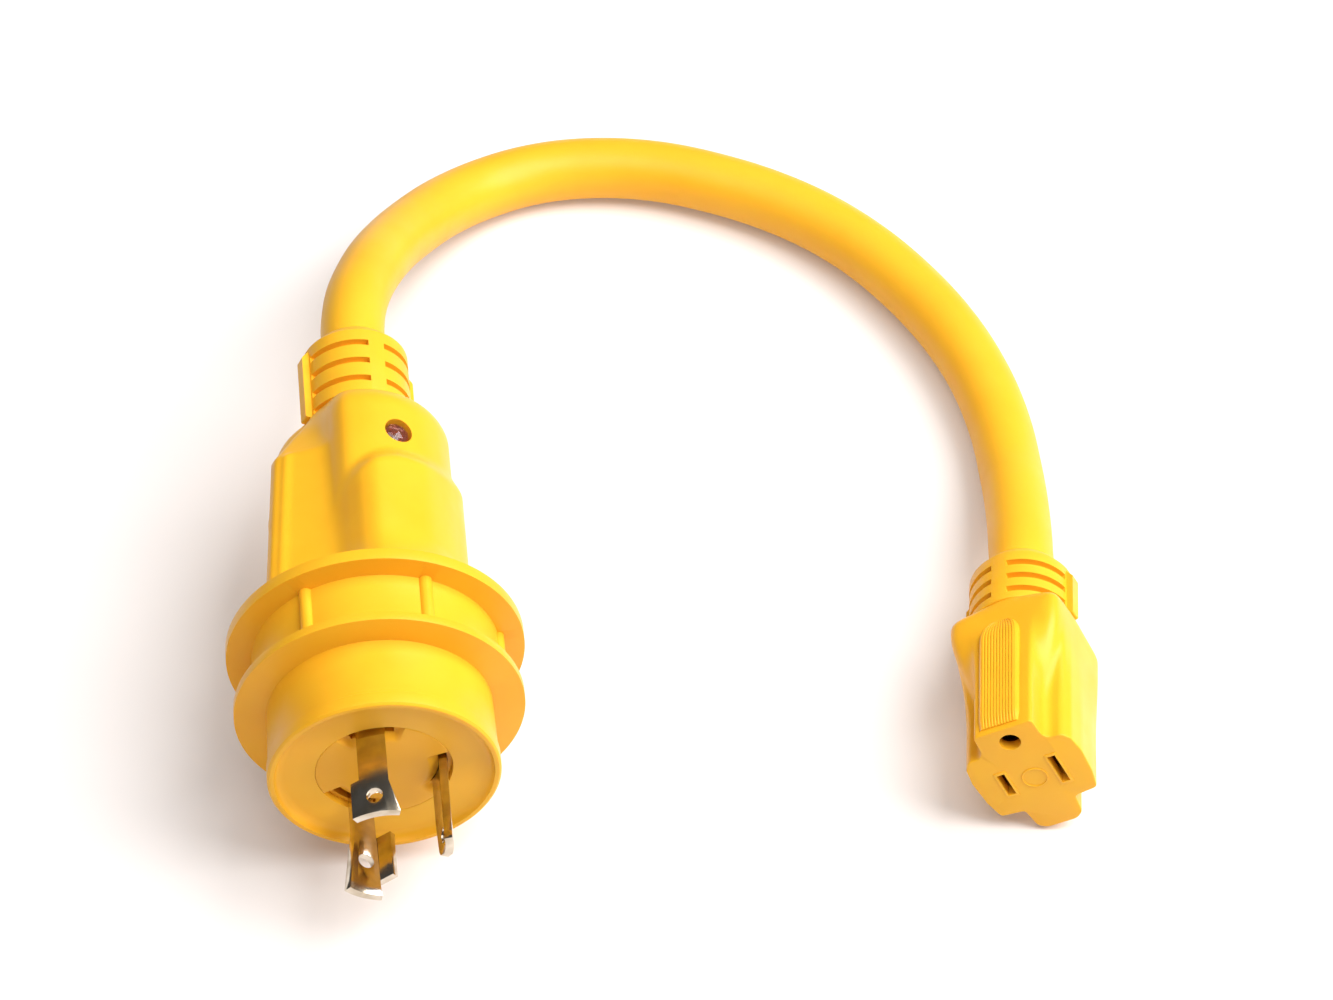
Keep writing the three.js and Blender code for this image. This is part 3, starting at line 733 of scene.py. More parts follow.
def highest(shape: bmesh.types.BMesh) -> bmesh.types.BMFace:
    """The face whose middle lies highest."""
    return max(shape.faces, key=lambda face: face.calc_center_median().z)


@dataclass(frozen=True)
class Label:
    """What a finished piece is called, what it stands for and its slot."""

    name: str
    node: str
    slot: str
    finish: Finish
    flat: bool = False


def shown(shape: bmesh.types.BMesh, label: Label, place: Matrix) -> bpy.types.Object:
    """Turns a shape into a piece of the object, in place of its plain solid.

    Args:
        shape: The shape in its end's own millimetres; it is used up.
        label: The piece's names and finish.
        place: Carries it to the frame.

    Returns:
        The finished piece.
    """
    bmesh.ops.dissolve_degenerate(shape, dist=1e-5, edges=shape.edges)
    moved(shape, place)
    mesh = bpy.data.meshes.new(label.name)
    shape.to_mesh(mesh)
    shape.free()
    piece = bpy.data.objects.new(label.name, mesh)
    bpy.context.collection.objects.link(piece)
    mesh.materials.append(finish_of(label.finish))
    if not label.flat:
        mesh.shade_smooth()
        mesh.set_sharp_from_angle(angle=SHARP)
    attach(piece, ROOT)
    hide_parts(label.node)
    log.info("%s: %d faces", label.name, len(mesh.polygons))
    return piece


def smooth(value: float) -> float:
    """An even ease from nought to one."""
    t = min(1.0, max(0.0, value))
    return t * t * (3 - 2 * t)


def mix(a: float, b: float, t: float) -> float:
    """The value a share t of the way from a to b."""
    return a + (b - a) * t


def soft_most(values: Sequence[float], sharpness: float) -> float:
    """The largest of several lengths, with a fillet where two of them meet.

    Args:
        values: Lengths in millimetres.
        sharpness: A higher figure makes a smaller fillet.

    Returns:
        The blended length.
    """
    most = max(values)
    return most + math.log(sum(math.exp(sharpness * (v - most)) for v in values)) / sharpness


def soft_least(values: Sequence[float], sharpness: float) -> float:
    """The smallest of several lengths, with a round where two of them meet."""
    return -soft_most([-value for value in values], sharpness)


# ------------------------------------------------------------------------ the plug
# The grip's half section as (degrees from the crown's direction, millimetres).
CROWN_SECTION = (
    (-90, 17.0), (-72, 20.8), (-54, 22.4), (-40, 22.1), (-26, 22.4), (-10, 23.3), (6, 23.7),
    (17, 24.0), (26, 22.9), (34, 20.9), (42, 18.9), (50, 17.3), (66, 15.6), (90, 17.0),
)
DOME_SECTION = (
    (-90, 13.6), (-72, 18.4), (-50, 20.4), (0, 20.4), (26, 20.4), (36, 20.1), (43, 18.8),
    (50, 17.0), (62, 14.8), (76, 13.8), (90, 13.6),
)
# Station where the crown has run out, by angle.
CROWN_ARCH = (
    (-90, 82.0), (-60, 81.2), (-33, 79.0), (-10, 78.2), (8, 77.8), (19, 76.4), (28, 74.4),
    (36, 72.4), (43, 68.5), (52, 65.0), (90, 82.0),
)
# How far the wings reach, by station: they spread forward and slant away behind.
WING_REACH = ((37.3, 26.6), (83.0, 22.8), (99.0, 12.6))


def along(marks: Sequence[tuple[float, float]], at: float) -> float:
    """A value on the straight lines between marks.

    Args:
        marks: Pairs of place and value, in order of place.
        at: The place wanted.

    Returns:
        The value there.
    """
    for (near, low), (far, high) in zip(marks, marks[1:]):
        if at <= far:
            return mix(low, high, (at - near) / (far - near))
    return marks[-1][1]


def through(marks: Sequence[tuple[float, float]], at: float) -> float:
    """A smooth value through marks, level at each turning point.

    Args:
        marks: Pairs of place and value, in order of place.
        at: The place wanted.

    Returns:
        The value there.
    """
    if at <= marks[0][0]:
        return marks[0][1]
    for index in range(len(marks) - 1):
        (near, low), (far, high) = marks[index : index + 2]
        if at <= far:
            span, rise = far - near, (high - low) / (far - near)
            starts, ends = rise, rise
            if index > 0:
                before = (low - marks[index - 1][1]) / (near - marks[index - 1][0])
                starts = 0.0 if before * rise <= 0 else (before + rise) / 2
            if index + 2 < len(marks):
                after = (marks[index + 2][1] - high) / (marks[index + 2][0] - far)
                ends = 0.0 if after * rise <= 0 else (after + rise) / 2
            t = (at - near) / span
            return (
                low * (1 + 2 * t) * (1 - t) ** 2 + span * starts * t * (1 - t) ** 2
                + high * t * t * (3 - 2 * t) + span * ends * t * t * (t - 1)
            )
    return marks[-1][1]


class Side(Enum):
    """How one side of a blade is cut, as pairs of place and angle set in.

    The place is the share of the way from the tip to the sunken face, and the angle
    is in degrees.
    """

    FLARED = ((0.0, 0.0), (0.42, 9.0), (1.02, 9.5), (1.04, 0.0))
    LONG_FLARE = ((0.0, 7.0), (0.72, 18.5), (1.02, 18.5), (1.04, 0.0))
    STEPPED = ((0.0, 0.0), (0.47, 0.0), (0.485, 8.8), (1.02, 8.8), (1.04, 0.0))
    PLAIN = ((0.0, 0.0), (0.1, 1.0), (1.02, 3.5), (1.04, 0.0))
    CLIPPED = ((0.0, 20.0), (0.06, 8.5), (0.12, 6.0), (0.47, 3.5), (1.02, 3.0), (1.04, 0.0))

    def inset(self, share: float) -> float:
        """How far the side is set in at a share of the way from the tip."""
        return along(self.value, share)


@dataclass(frozen=True)
class Ear:
    """The ear bent inwards at one side of a blade, in millimetres and degrees."""

    from_tip: float
    length: float
    reach: float
    thickness: float
    lean: float
    sunk: float = 0.7

    def shape(self, tip: float, radius: float, side: float) -> bmesh.types.BMesh:
        """The ear in its place.

        Args:
            tip: Station of the blade's tip.
            radius: Radius of the blade's middle.
            side: Angle of the side that the ear is on, in degrees.

        Returns:
            The closed solid.
        """
        front, half = tip + self.from_tip, self.thickness / 2
        plate = box((-self.sunk, front, -half), (self.reach, front + self.length, half))
        edge = clocked_point((radius, 0, 0), side)
        return moved(clocked(plate, self.lean), Matrix.Translation(edge))


@dataclass(frozen=True)
class Blade:
    """One curved contact blade of the plug, in millimetres and degrees."""

    kind: str
    angle: float
    length: float
    low_side: Side
    high_side: Side
    hole_from_tip: float
    hole_aside: float = 0.0
    ear: Ear | None = None


@dataclass
class LockingPlug:
    """The 30 A locking plug without its sleeve: shell, carrier, blades and lens.

    A ring is given as its radius and the stations of its front and back.
    """

    place: Matrix = field(default_factory=PLUG_PLACE.matrix)
    nose: float = 25.0
    lip: float = 25.7
    lip_length: float = 3.5
    front_ring: tuple[float, float, float] = (32.2, 18.2, 20.3)
    rear_ring: tuple[float, float, float] = (33.24, 34.4, 37.3)
    band: float = 27.6
    band_rib_radius: float = 1.55
    band_ribs: tuple[float, ...] = (65, 122.5, 187.5, 245, 302.5, 7.5)
    crown_angle: float = 65
    arch_length: float = 6.8
    stop_height: float = 5.5
    stop_length: float = 14.0
    wing_base: float = 2.5
    wing_slope: float = 0.85
    wing_bead: float = 0.45
    bead_end: float = 83.5
    grip_bore: float = 15.4
    cable_bore: float = 10.4
    grip_rounds_from: float = 90.0
    grip_end: float = 99.4
    grip_end_radius: float = 12.4
    dish_radius: float = 24.0
    dish_depth: float = 2.0
    carrier_radius: float = 15.1
    carrier_length: float = 25
    scoop_depth: float = 1.7
    slot_gap: float = 0.12
    slot_half: float = 23.1
    lens_station: float = 83.5
    lens_radius: float = 3.0
    lens_foot: float = 18.5
    lens_facets: int = 10
    recess_radii: tuple[float, float] = (3.1, 3.35)
    recess_ends: tuple[float, float] = (8.8, 23.0)
    blade_inner: float = 12.1
    blade_outer: float = 13.9
    blade_half: float = 22.5
    blade_root: float = 12.0
    blade_round: float = 0.14
    hole_radius: float = 1.85
    blades: tuple[Blade, ...] = (
        Blade("hot", 101, 19.8, Side.FLARED, Side.STEPPED, 4.6),
        Blade("neutral", -11, 19.8, Side.CLIPPED, Side.PLAIN, 4.6),
        Blade("ground", 237.5, 23.3, Side.LONG_FLARE, Side.PLAIN, 8.9, 7,
              Ear(from_tip=4.1, length=11.6, reach=4.0, thickness=1.6, lean=37)),
    )
    steps: int = 360

    def build(self) -> list[bpy.types.Object]:
        """Builds every visible piece of the plug.

        Returns:
            The pieces.
        """
        return [
            self.body(),
            self.carrier(),
            *(self.blade(blade) for blade in self.blades),
            self.lens(),
        ]

    def body(self) -> bpy.types.Object:
        """The overmoulded shell, hollow for the carrier and the conductors.

        Returns:
            The finished piece.
        """
        bore = self.carrier_radius + 0.05
        front, rear = self.front_ring, self.rear_ring
        grip = [(24.0, station) for station in self.grip_stations()]
        outline: Profile = [
            (bore, self.dish_depth - 0.15),
            (self.dish_radius - 2.2, self.dish_depth),
            (self.dish_radius - 0.8, self.dish_depth - 0.4),
            (self.dish_radius, 0.9),
            (self.dish_radius + 0.25, 0.0),
            (self.lip - 0.5, 0.0),
            (self.lip, 0.5),
            (self.lip, self.lip_length),
            (self.nose + 0.35, self.lip_length + 0.3),
            (self.nose, front[1]),
            (front[0], front[1]),
            (front[0], front[2]),
            (self.band, front[2]),
            (self.band, rear[1]),
            (rear[0], rear[1]),
            (rear[0], rear[2]),
            *grip,
            (self.cable_bore, self.grip_end + 0.4),
            (self.cable_bore, 82.0),
            (self.grip_bore, 68.0),
            (self.grip_bore, self.carrier_length + 0.3),
            (bore, self.carrier_length + 0.3),
        ]
        shell = turned(outline, 0.35, self.steps)
        grip_from = rear[2] + 0.2
        reshaped(shell, lambda co: self.grip_place(co) if co.y > grip_from else co)
        ribs = gathered([self.band_rib(angle) for angle in self.band_ribs])
        shell = combined(shell, ribs, Join.ADD)
        shell = combined(shell, self.lens_recess(), Join.CUT)
        return shown(
            shell, Label("plug_shell", "plug_body", "yellow_body", YELLOW_MOULDED), self.place
        )

    def grip_stations(self) -> list[float]:
        """The grip's rows, closer together where it rounds in to the sleeve.

        Returns:
            Stations from the rear ring to the sleeve, in millimetres.
        """
        start, turn, even, closer = self.rear_ring[2] + 0.6, self.grip_rounds_from, 70, 20
        rows = [mix(start, turn, step / even) for step in range(even)]
        eased = [math.sin(step / closer * math.pi / 2) for step in range(closer + 1)]
        return rows + [mix(turn, self.grip_end, share) for share in eased]

    def grip_place(self, co: Vector) -> Vector:
        """Where a point of the turned grip goes on the finger grip.

        Args:
            co: The point on the turned blank.

        Returns:
            The point on the crowned and winged grip; the bore stays.
        """
        radius = math.hypot(co.x, co.z)
        if radius < self.grip_bore + 1:
            return co
        angle = math.degrees(math.atan2(co.z, co.x)) - self.crown_angle
        scale = self.grip_radius((angle + 90) % 180 - 90, co.y) / radius
        return Vector((co.x * scale, co.y, co.z * scale))

    def grip_radius(self, angle: float, station: float) -> float:
        """The grip's radius: a crown, a dome behind it, and the wings.

        Both halves of the grip are alike, so half a turn describes it.

        Args:
            angle: Angle from the crown's direction, in degrees, from -90 to 90.
            station: Distance behind the face.

        Returns:
            The radius in millimetres.
        """
        crown, dome = through(CROWN_SECTION, angle), through(DOME_SECTION, angle)
        # The crown ends behind in an arch that comes forward at one side.
        arch = through(CROWN_ARCH, angle)
        body = mix(crown, dome, smooth((station - arch + 6.2) / self.arch_length))
        # Close behind the ring the grip flares out to a finger stop, more at one side.
        one_side = smooth((-8 - angle) / 22) * smooth((angle + 84) / 20)
        near = max(0.0, 1 - (station - self.rear_ring[2]) / self.stop_length)
        body += (self.stop_height + 5.0 * one_side) * near**2
        full = soft_most((body, self.wing_radius(angle, station)), 0.85)
        # The end rounds in to the sleeve as a quarter of an ellipse.
        turn = self.grip_rounds_from
        fall = max(0.0, (station - turn) / (self.grip_end - turn))
        return mix(self.grip_end_radius, full, math.sqrt(max(0.0, 1 - fall**2.2)))

    def wing_radius(self, angle: float, station: float) -> float:
        """The radius of the wing's sloped flank, cut off at its reach.

        Args:
            angle: Angle from the crown's direction, in degrees, from -90 to 90.
            station: Distance behind the face.

        Returns:
            The radius in millimetres.
        """
        reach = along(WING_REACH, station) - (1.5 if angle < 0 else 0.0)
        side, rise = abs(math.sin(angle * DEG)), math.cos(angle * DEG)
        flank = (self.wing_base + reach * self.wing_slope) / (rise + self.wing_slope * side)
        # Towards the crown's top the flank gives way.
        flank -= 9.0 * (1 - smooth((side - 0.25) / 0.35))
        wing = soft_least((flank, reach / max(side, 1e-6)), 3.0)
        if station < self.bead_end:
            inward = (reach - wing * side - 2.2) / 0.8
            wing += self.wing_bead * math.exp(-(inward**2)) * smooth((side - 0.8) / 0.1)
        return wing

    def band_rib(self, angle: float) -> bmesh.types.BMesh:
        """One rounded rib between the rings.

        Args:
            angle: Its angle from +x towards +z, in degrees.

        Returns:
            The closed solid.
        """
        ends = self.front_ring[2] - 0.5, self.rear_ring[1] + 0.5
        rib = rod(self.band_rib_radius, *ends, 24)
        moved(rib, Matrix.Translation((self.band - 0.25, 0, 0)))
        return clocked(rib, angle)

    def lens_recess(self) -> bmesh.types.BMesh:
        """The round hole for the lens, a little wider at its mouth.

        Returns:
            The closed cutter.
        """
        made = bmesh.new()
        (inner, outer), (foot, mouth) = self.recess_radii, self.recess_ends
        bmesh.ops.create_cone(
            made, cap_ends=True, segments=64, radius1=inner, radius2=outer, depth=mouth - foot
        )
        return moved(made, self.lamp_axis() @ Matrix.Translation((0, 0, (foot + mouth) / 2)))

    def lamp_axis(self) -> Matrix:
        """Carries z to the lamp's radial axis at its station."""
        lean = Matrix.Rotation((90 - self.crown_angle) * DEG, 4, "Y")
        return Matrix.Translation((0, self.lens_station, 0)) @ lean

    def lens(self) -> bpy.types.Object:
        """The faceted clear lens in its recess.

        Returns:
            The finished piece.
        """
        made = bmesh.new()
        bmesh.ops.create_cone(
            made, cap_ends=True, segments=self.lens_facets, radius1=self.lens_radius,
            radius2=self.lens_radius * 0.93, depth=1.6,
        )
        bmesh.ops.inset_individual(made, faces=[highest(made)], thickness=0.9, depth=0.55)
        apex = bmesh.ops.poke(made, faces=[highest(made)])["verts"]
        bmesh.ops.translate(made, verts=apex, vec=(0, 0, 0.45))
        moved(made, self.lamp_axis() @ Matrix.Translation((0, 0, self.lens_foot)))
        label = Label("lamp_lens", "indicator_lens", "clear_lens", CLEAR_ACRYLIC, flat=True)
        return shown(made, label, self.place)

    def carrier(self) -> bpy.types.Object:
        """The moulded disc that holds the blades, scooped out round each of them.

        Returns:
            The finished piece.
        """
        front, edge = self.dish_depth - 0.2, self.carrier_radius
        pitch = 0.35  # fine enough for the scoops to round off
        rings = [(pitch * step, front) for step in range(1, int(edge / pitch))]
        disc = turned(
            [(0.0, front), *rings, (edge, front), (edge, self.carrier_length),
             (0.0, self.carrier_length)], 0.2, 240,
        )
        reshaped(disc, self.scoop)
        slots = [
            sector(
                self.blade_inner - self.slot_gap, self.blade_outer + self.slot_gap,
                blade.angle - self.slot_half, blade.angle + self.slot_half,
                (self.dish_depth - 1, self.carrier_length + 1),
            )
            for blade in self.blades
        ]
        disc = combined(disc, gathered(slots), Join.CUT)
        label = Label("blade_carrier", "plug_blade_carrier", "yellow_core", YELLOW_CORE)
        return shown(disc, label, self.place)

    def scoop(self, co: Vector) -> Vector:
        """Sinks the carrier's face into a soft scoop round each blade.

        Args:
            co: A point of the flat disc.

        Returns:
            The point, sunk if it is on the face near a blade.
        """
        if co.y > self.dish_depth + 1:
            return co
        angle = math.degrees(math.atan2(co.z, co.x))
        radial = smooth((math.hypot(co.x, co.z) - 9.8) / 3.0)
        sunk = 0.0
        for blade in self.blades:
            off = abs((angle - blade.angle + 180) % 360 - 180)
            sunk = max(sunk, smooth((self.blade_half + 8.5 - off) / 6))
        return Vector((co.x, co.y + self.scoop_depth * radial * sunk, co.z))

    def blade(self, blade: Blade) -> bpy.types.Object:
        """One curved blade with its shaped sides, hole and softened edges.

        Args:
            blade: Which blade.

        Returns:
            The finished piece.
        """
        low, high = blade.angle - self.blade_half, blade.angle + self.blade_half
        marks = {share for side in (blade.low_side, blade.high_side) for share, _ in side.value}
        stations = sorted(blade.length * (share - 1) for share in marks)
        made = sector(
            self.blade_inner, self.blade_outer, low, high, [*stations, self.blade_root], 40
        )

        def trim(co: Vector) -> Vector:
            """Draws the strip's sides in."""
            share = min(1.0, co.y / blade.length + 1)
            first = low + blade.low_side.inset(share)
            last = high - blade.high_side.inset(share)
            angle = math.degrees(math.atan2(co.z, co.x))
            part = ((angle - low + 180) % 360 - 180) / (high - low)
            turn = mix(first, last, part) * DEG
            radius = math.hypot(co.x, co.z)
            return Vector((radius * math.cos(turn), co.y, radius * math.sin(turn)))

        reshaped(made, trim)
        across = Matrix.Rotation(-math.pi / 2, 4, "Z")
        station = Matrix.Translation((0, blade.hole_from_tip - blade.length, 0))
        hole = rod(self.hole_radius, self.blade_inner - 4, self.blade_outer + 4, 40)
        moved(hole, station @ across)
        clocked(hole, blade.angle + blade.hole_aside)
        made = combined(made, hole, Join.CUT)
        if blade.ear:
            middle = (self.blade_inner + self.blade_outer) / 2
            ear = blade.ear.shape(-blade.length, middle, high)
            made = combined(made, ear, Join.ADD)
        softened(made, self.blade_round)
        label = Label(f"{blade.kind}_curved_blade", f"{blade.kind}_blade", "nickel_blade",
                      NICKEL_PLATE)
        return shown(made, label, self.place)


def bar_reach(side: float, rise: float, across: float, up: float, power: float) -> float:
    """How far a rounded bar reaches along a direction.

    Args:
        side: Share of the direction across the bar.
        rise: Share of it up the bar.
        across: The bar's half width.
        up: The bar's half height.
        power: Two is an ellipse; more is squarer.

    Returns:
        The reach in millimetres.
    """
    return ((side / across) ** power + (rise / up) ** power) ** (-1 / power)


# --------------------------------------------------------------- the relief sleeves
@dataclass
class ReliefSleeve:
    """A slotted sleeve with two fins, in millimetres and degrees.

    It runs from start to end and holds on to the shell back to its anchor.  The rows
    are the stations of its slots, and the crown's angle is where its spine points.
    """

    label: Label
    place: Matrix
    radius: float
    start: float
    end: float
    tip: float
    rows: tuple[float, ...]
    anchor: float
    crown_angle: float
    aside: float = 0.0
    rise: float = 0.0
    slot_width: float = 1.65
    slot_depth: float = 1.7
    slot_from: float = 9.0
    fin_reach: float = 13.9
    fin_nose: float = 6.6

    def build(self) -> bpy.types.Object:
        """Builds the sleeve.

        Returns:
            The finished piece.
        """
        bore, anchor_radius, fin_half = 7.55, 9.4, 1.4
        sleeve = turned(
            [
                (bore, self.anchor),
                (anchor_radius, self.anchor),
                (anchor_radius, self.start),
                (self.radius, self.start),
                (self.radius, self.end - 3.6),
                (self.tip, self.end),
                (bore, self.end),
            ],
            0.3, 120,
        )
        reach, nose = self.fin_reach, self.end - self.fin_nose
        outline = rounded(
            [(-reach, self.start), (reach, self.start), (reach, nose),
             (self.tip - 0.6, self.end - 0.3), (0.6 - self.tip, self.end - 0.3), (-reach, nose)],
            0.4, True,
        )
        fins = drawn_out(outline, -fin_half, fin_half)
        moved(fins, Matrix.Rotation(-math.pi / 2, 4, "X"))
        bmesh.ops.recalc_face_normals(fins, faces=fins.faces)
        fins = combined(fins, rod(bore + 0.6, self.start - 5, self.end + 5, 64), Join.CUT)
        sleeve = combined(sleeve, fins, Join.ADD)
        grooves = [self.groove(row, quarter) for row in self.rows for quarter in range(4)]
        sleeve = combined(sleeve, gathered(grooves), Join.CUT)
        clocked(sleeve, self.crown_angle - 90)
        moved(sleeve, Matrix.Translation((self.aside, 0, self.rise)))
        return shown(sleeve, self.label, self.place)

    def groove(self, row: float, quarter: int) -> bmesh.types.BMesh:
        """One groove from beside the spine to the fin.

        Args:
            row: Its station.
            quarter: Which quarter of the sleeve it is in.

        Returns:
            The closed cutter.
        """
        start = 90 * quarter + self.slot_from
        end = 90 * (quarter + 1) - self.slot_from
        rows = (row - self.slot_width / 2, row + self.slot_width / 2)
        return sector(self.radius - self.slot_depth, self.fin_reach + 1.5, start, end, rows, 16)


# --------------------------------------------------------------------- the connector
@dataclass(frozen=True)
class Slot:
    """One slot of the face: how far it is to the side, and its width and height."""

    aside: float
    width: float
    height: float

    def block(self, margin: tuple[float, float], start: float, end: float) -> bmesh.types.BMesh:
        """A block as large as the slot, with a margin.

        Args:
            margin: What is added at each side, across and up.
            start: Station of its front.
            end: Station of its back.

        Returns:
            The closed solid.
        """
        across, up = self.width / 2 + margin[0], self.height / 2 + margin[1]
        return box((self.aside - across, start, -up), (self.aside + across, end, up))


@dataclass
class StraightConnector:
    """The 15 A connector without its sleeve: the shell with its openings and pad.

    The back's half widths are to the left and to the right of the cable, and its half
    heights above and below it.
    """

    place: Matrix = field(default_factory=CONNECTOR_PLACE.matrix)
    length: float = 41.5
    right_outline: tuple[tuple[float, float], ...] = (
        (3.6, -16.4),
        (5.5, -14.9),
        (6.1, -9.6),
        (11.7, -9.0),
        (12.8, -4.0),
        (13.3, 3.0),
        (12.7, 7.4),
        (11.3, 9.6),
        (8.4, 9.7),
        (7.3, 10.9),
        (7.0, 16.3),
    )
    back_across: tuple[float, float] = (13.9, 13.0)
    back_up: tuple[float, float] = (11.8, 14.2)
    back_squareness: float = 10.0
    flare_from: float = 11.0
    flare_length: float = 25.5
    closes_from: float = 37.6
    neck: float = 11.4
    slots: tuple[Slot, ...] = (Slot(-6.35, 1.9, 6.7), Slot(6.35, 1.9, 8.6))
    socket_rise: float = 11.86
    socket_radius: float = 2.4
    opening_depth: float = 4.0
    lip_height: float = 0.22
    pad_half: float = 4.9
    pad_aside: float = -0.7
    pad_base: float = 13.0
    pad_top: float = 17.2
    pad_ends: tuple[float, float] = (1.4, 35.5)
    pad_rounds_over: float = 7.0
    rib_count: int = 11

    def build(self) -> bpy.types.Object:
        """Builds the overmoulded shell.

        Returns:
            The finished piece.
        """
        left = [(-x, z) for x, z in reversed(self.right_outline)]
        outline = rounded([*self.right_outline, *left], 0.9, True)
        bmesh.ops.subdivide_edges(
            outline, edges=[e for e in outline.edges if e.calc_length() > 1.2], cuts=4
        )
        shell = drawn_out(outline, 0.0, self.length, 60)
        reshaped(shell, self.shell_place)
        face = [f for f in shell.faces if f.calc_center_median().y < 1e-4 and len(f.verts) > 8]
        rim = {edge for f in face for edge in f.edges}
        bmesh.ops.bevel(
            shell, geom=list(rim), offset=0.35, offset_type="OFFSET", segments=3, profile=0.5,
            affect="EDGES", material=-1, clamp_overlap=True,
        )
        shell = combined(shell, self.thumb_pad(), Join.ADD)
        for lip in self.face_lips():
            shell = combined(shell, lip, Join.ADD)
        for cutter in self.openings():
            shell = combined(shell, cutter, Join.CUT)
        label = Label("connector_shell", "connector_body", "yellow_body", YELLOW_MOULDED)
        return shown(shell, label, self.place)

    def shell_place(self, co: Vector) -> Vector:
        """Where a point of the drawn-out face outline goes on the flared shell.

        Args:
            co: The point on the straight blank.

        Returns:
            The point on the shell.
        """
        rise = co.z - CABLE_RISE
        own = math.hypot(co.x, rise)
        if own < 1e-6:
            return co
        across = self.back_across[0 if co.x < 0 else 1]
        up = self.back_up[0 if rise > 0 else 1]
        flared = bar_reach(abs(co.x) / own, abs(rise) / own, across, up, self.back_squareness)
        target = mix(own, flared, smooth((co.y - self.flare_from) / self.flare_length))
        fall = max(0.0, (co.y - self.closes_from) / (self.length - self.closes_from))
        target = mix(self.neck, target, math.sqrt(max(0.0, 1 - fall**2)))
        return Vector((co.x * target / own, co.y, CABLE_RISE + rise * target / own))

    def thumb_pad(self) -> bmesh.types.BMesh:
        """The ribbed thumb pad on the block, rounded behind.

        Returns:
            The closed solid.
        """
        half, base, top = self.pad_half, self.pad_base, self.pad_top
        front, back = self.pad_ends
        pitch = 2 * (half - 0.9) / self.rib_count
        corner = [(half, base), (half, top - 0.9), (half - 0.25, top - 0.35), (half - 0.8, top)]
        points = list(corner)
        for rib in range(self.rib_count):
            middle = half - 0.9 - pitch * (rib + 0.5)
            points += [
                (middle + 0.46 * pitch, top - 0.1),
                (middle + 0.2 * pitch, top + 0.08),
                (middle - 0.2 * pitch, top + 0.08),
                (middle - 0.46 * pitch, top - 0.1),
            ]
        points += [(-x, z) for x, z in reversed(corner)]
        pad = drawn_out(rounded(points, 0, True), front, back, 48)

        def settle(co: Vector) -> Vector:
            """Rounds and sinks the pad's rear end, and slopes its front."""
            end = max(0.0, 1 + (co.y - back) / self.pad_rounds_over)
            narrowed = mix(0.02, 1.0, math.sqrt(max(0.0, 1 - end**2.4)))
            co.x = co.x * narrowed + self.pad_aside
            if co.z > base + 0.1:
                co.z -= 1.6 * end**2 + 0.5 * smooth((front + 3.1 - co.y) / 3.1)
            return co

        return reshaped(pad, settle)

    def face_lips(self) -> list[bmesh.types.BMesh]:
        """The low raised lips round the openings and the plain round badge.

        Returns:
            The closed solids.
        """
        front, back = -self.lip_height, 0.5
        lips = [softened(slot.block((0.55, 0.7), front, back), 0.2) for slot in self.slots]
        badge = turned([(2.65, front), (2.95, front), (2.95, back), (2.65, back)], 0.08, 64)
        return [*lips, moved(badge, Matrix.Translation((0.4, 0, -0.5)))]

    def openings(self) -> list[bmesh.types.BMesh]:
        """The slots, the round socket and the hollow for the insert.

        Returns:
            The closed cutters.
        """
        cutters = [slot.block((0, 0), -1, self.opening_depth) for slot in self.slots]
        socket = rod(self.socket_radius, -1, self.opening_depth, 48)
        cutters.append(moved(socket, Matrix.Translation((0, 0, self.socket_rise))))
        half = [(10.7, -6.5), (10.7, 7.3), (4.9, 7.3), (4.9, 14.7)]
        hollow = rounded([*half, *((-x, z) for x, z in reversed(half))], 0, True)
        cutters.append(drawn_out(hollow, 2.6, 31))
        past = self.length + 1.5
        rear = turned(
            [(0.0, 30.5), (10.2, 30.5), (10.2, 35.5), (9.6, 37.0), (9.6, past), (0.0, past)],
            0, 64,
        )
        cutters.append(moved(rear, Matrix.Translation((0, 0, CABLE_RISE))))
        return cutters


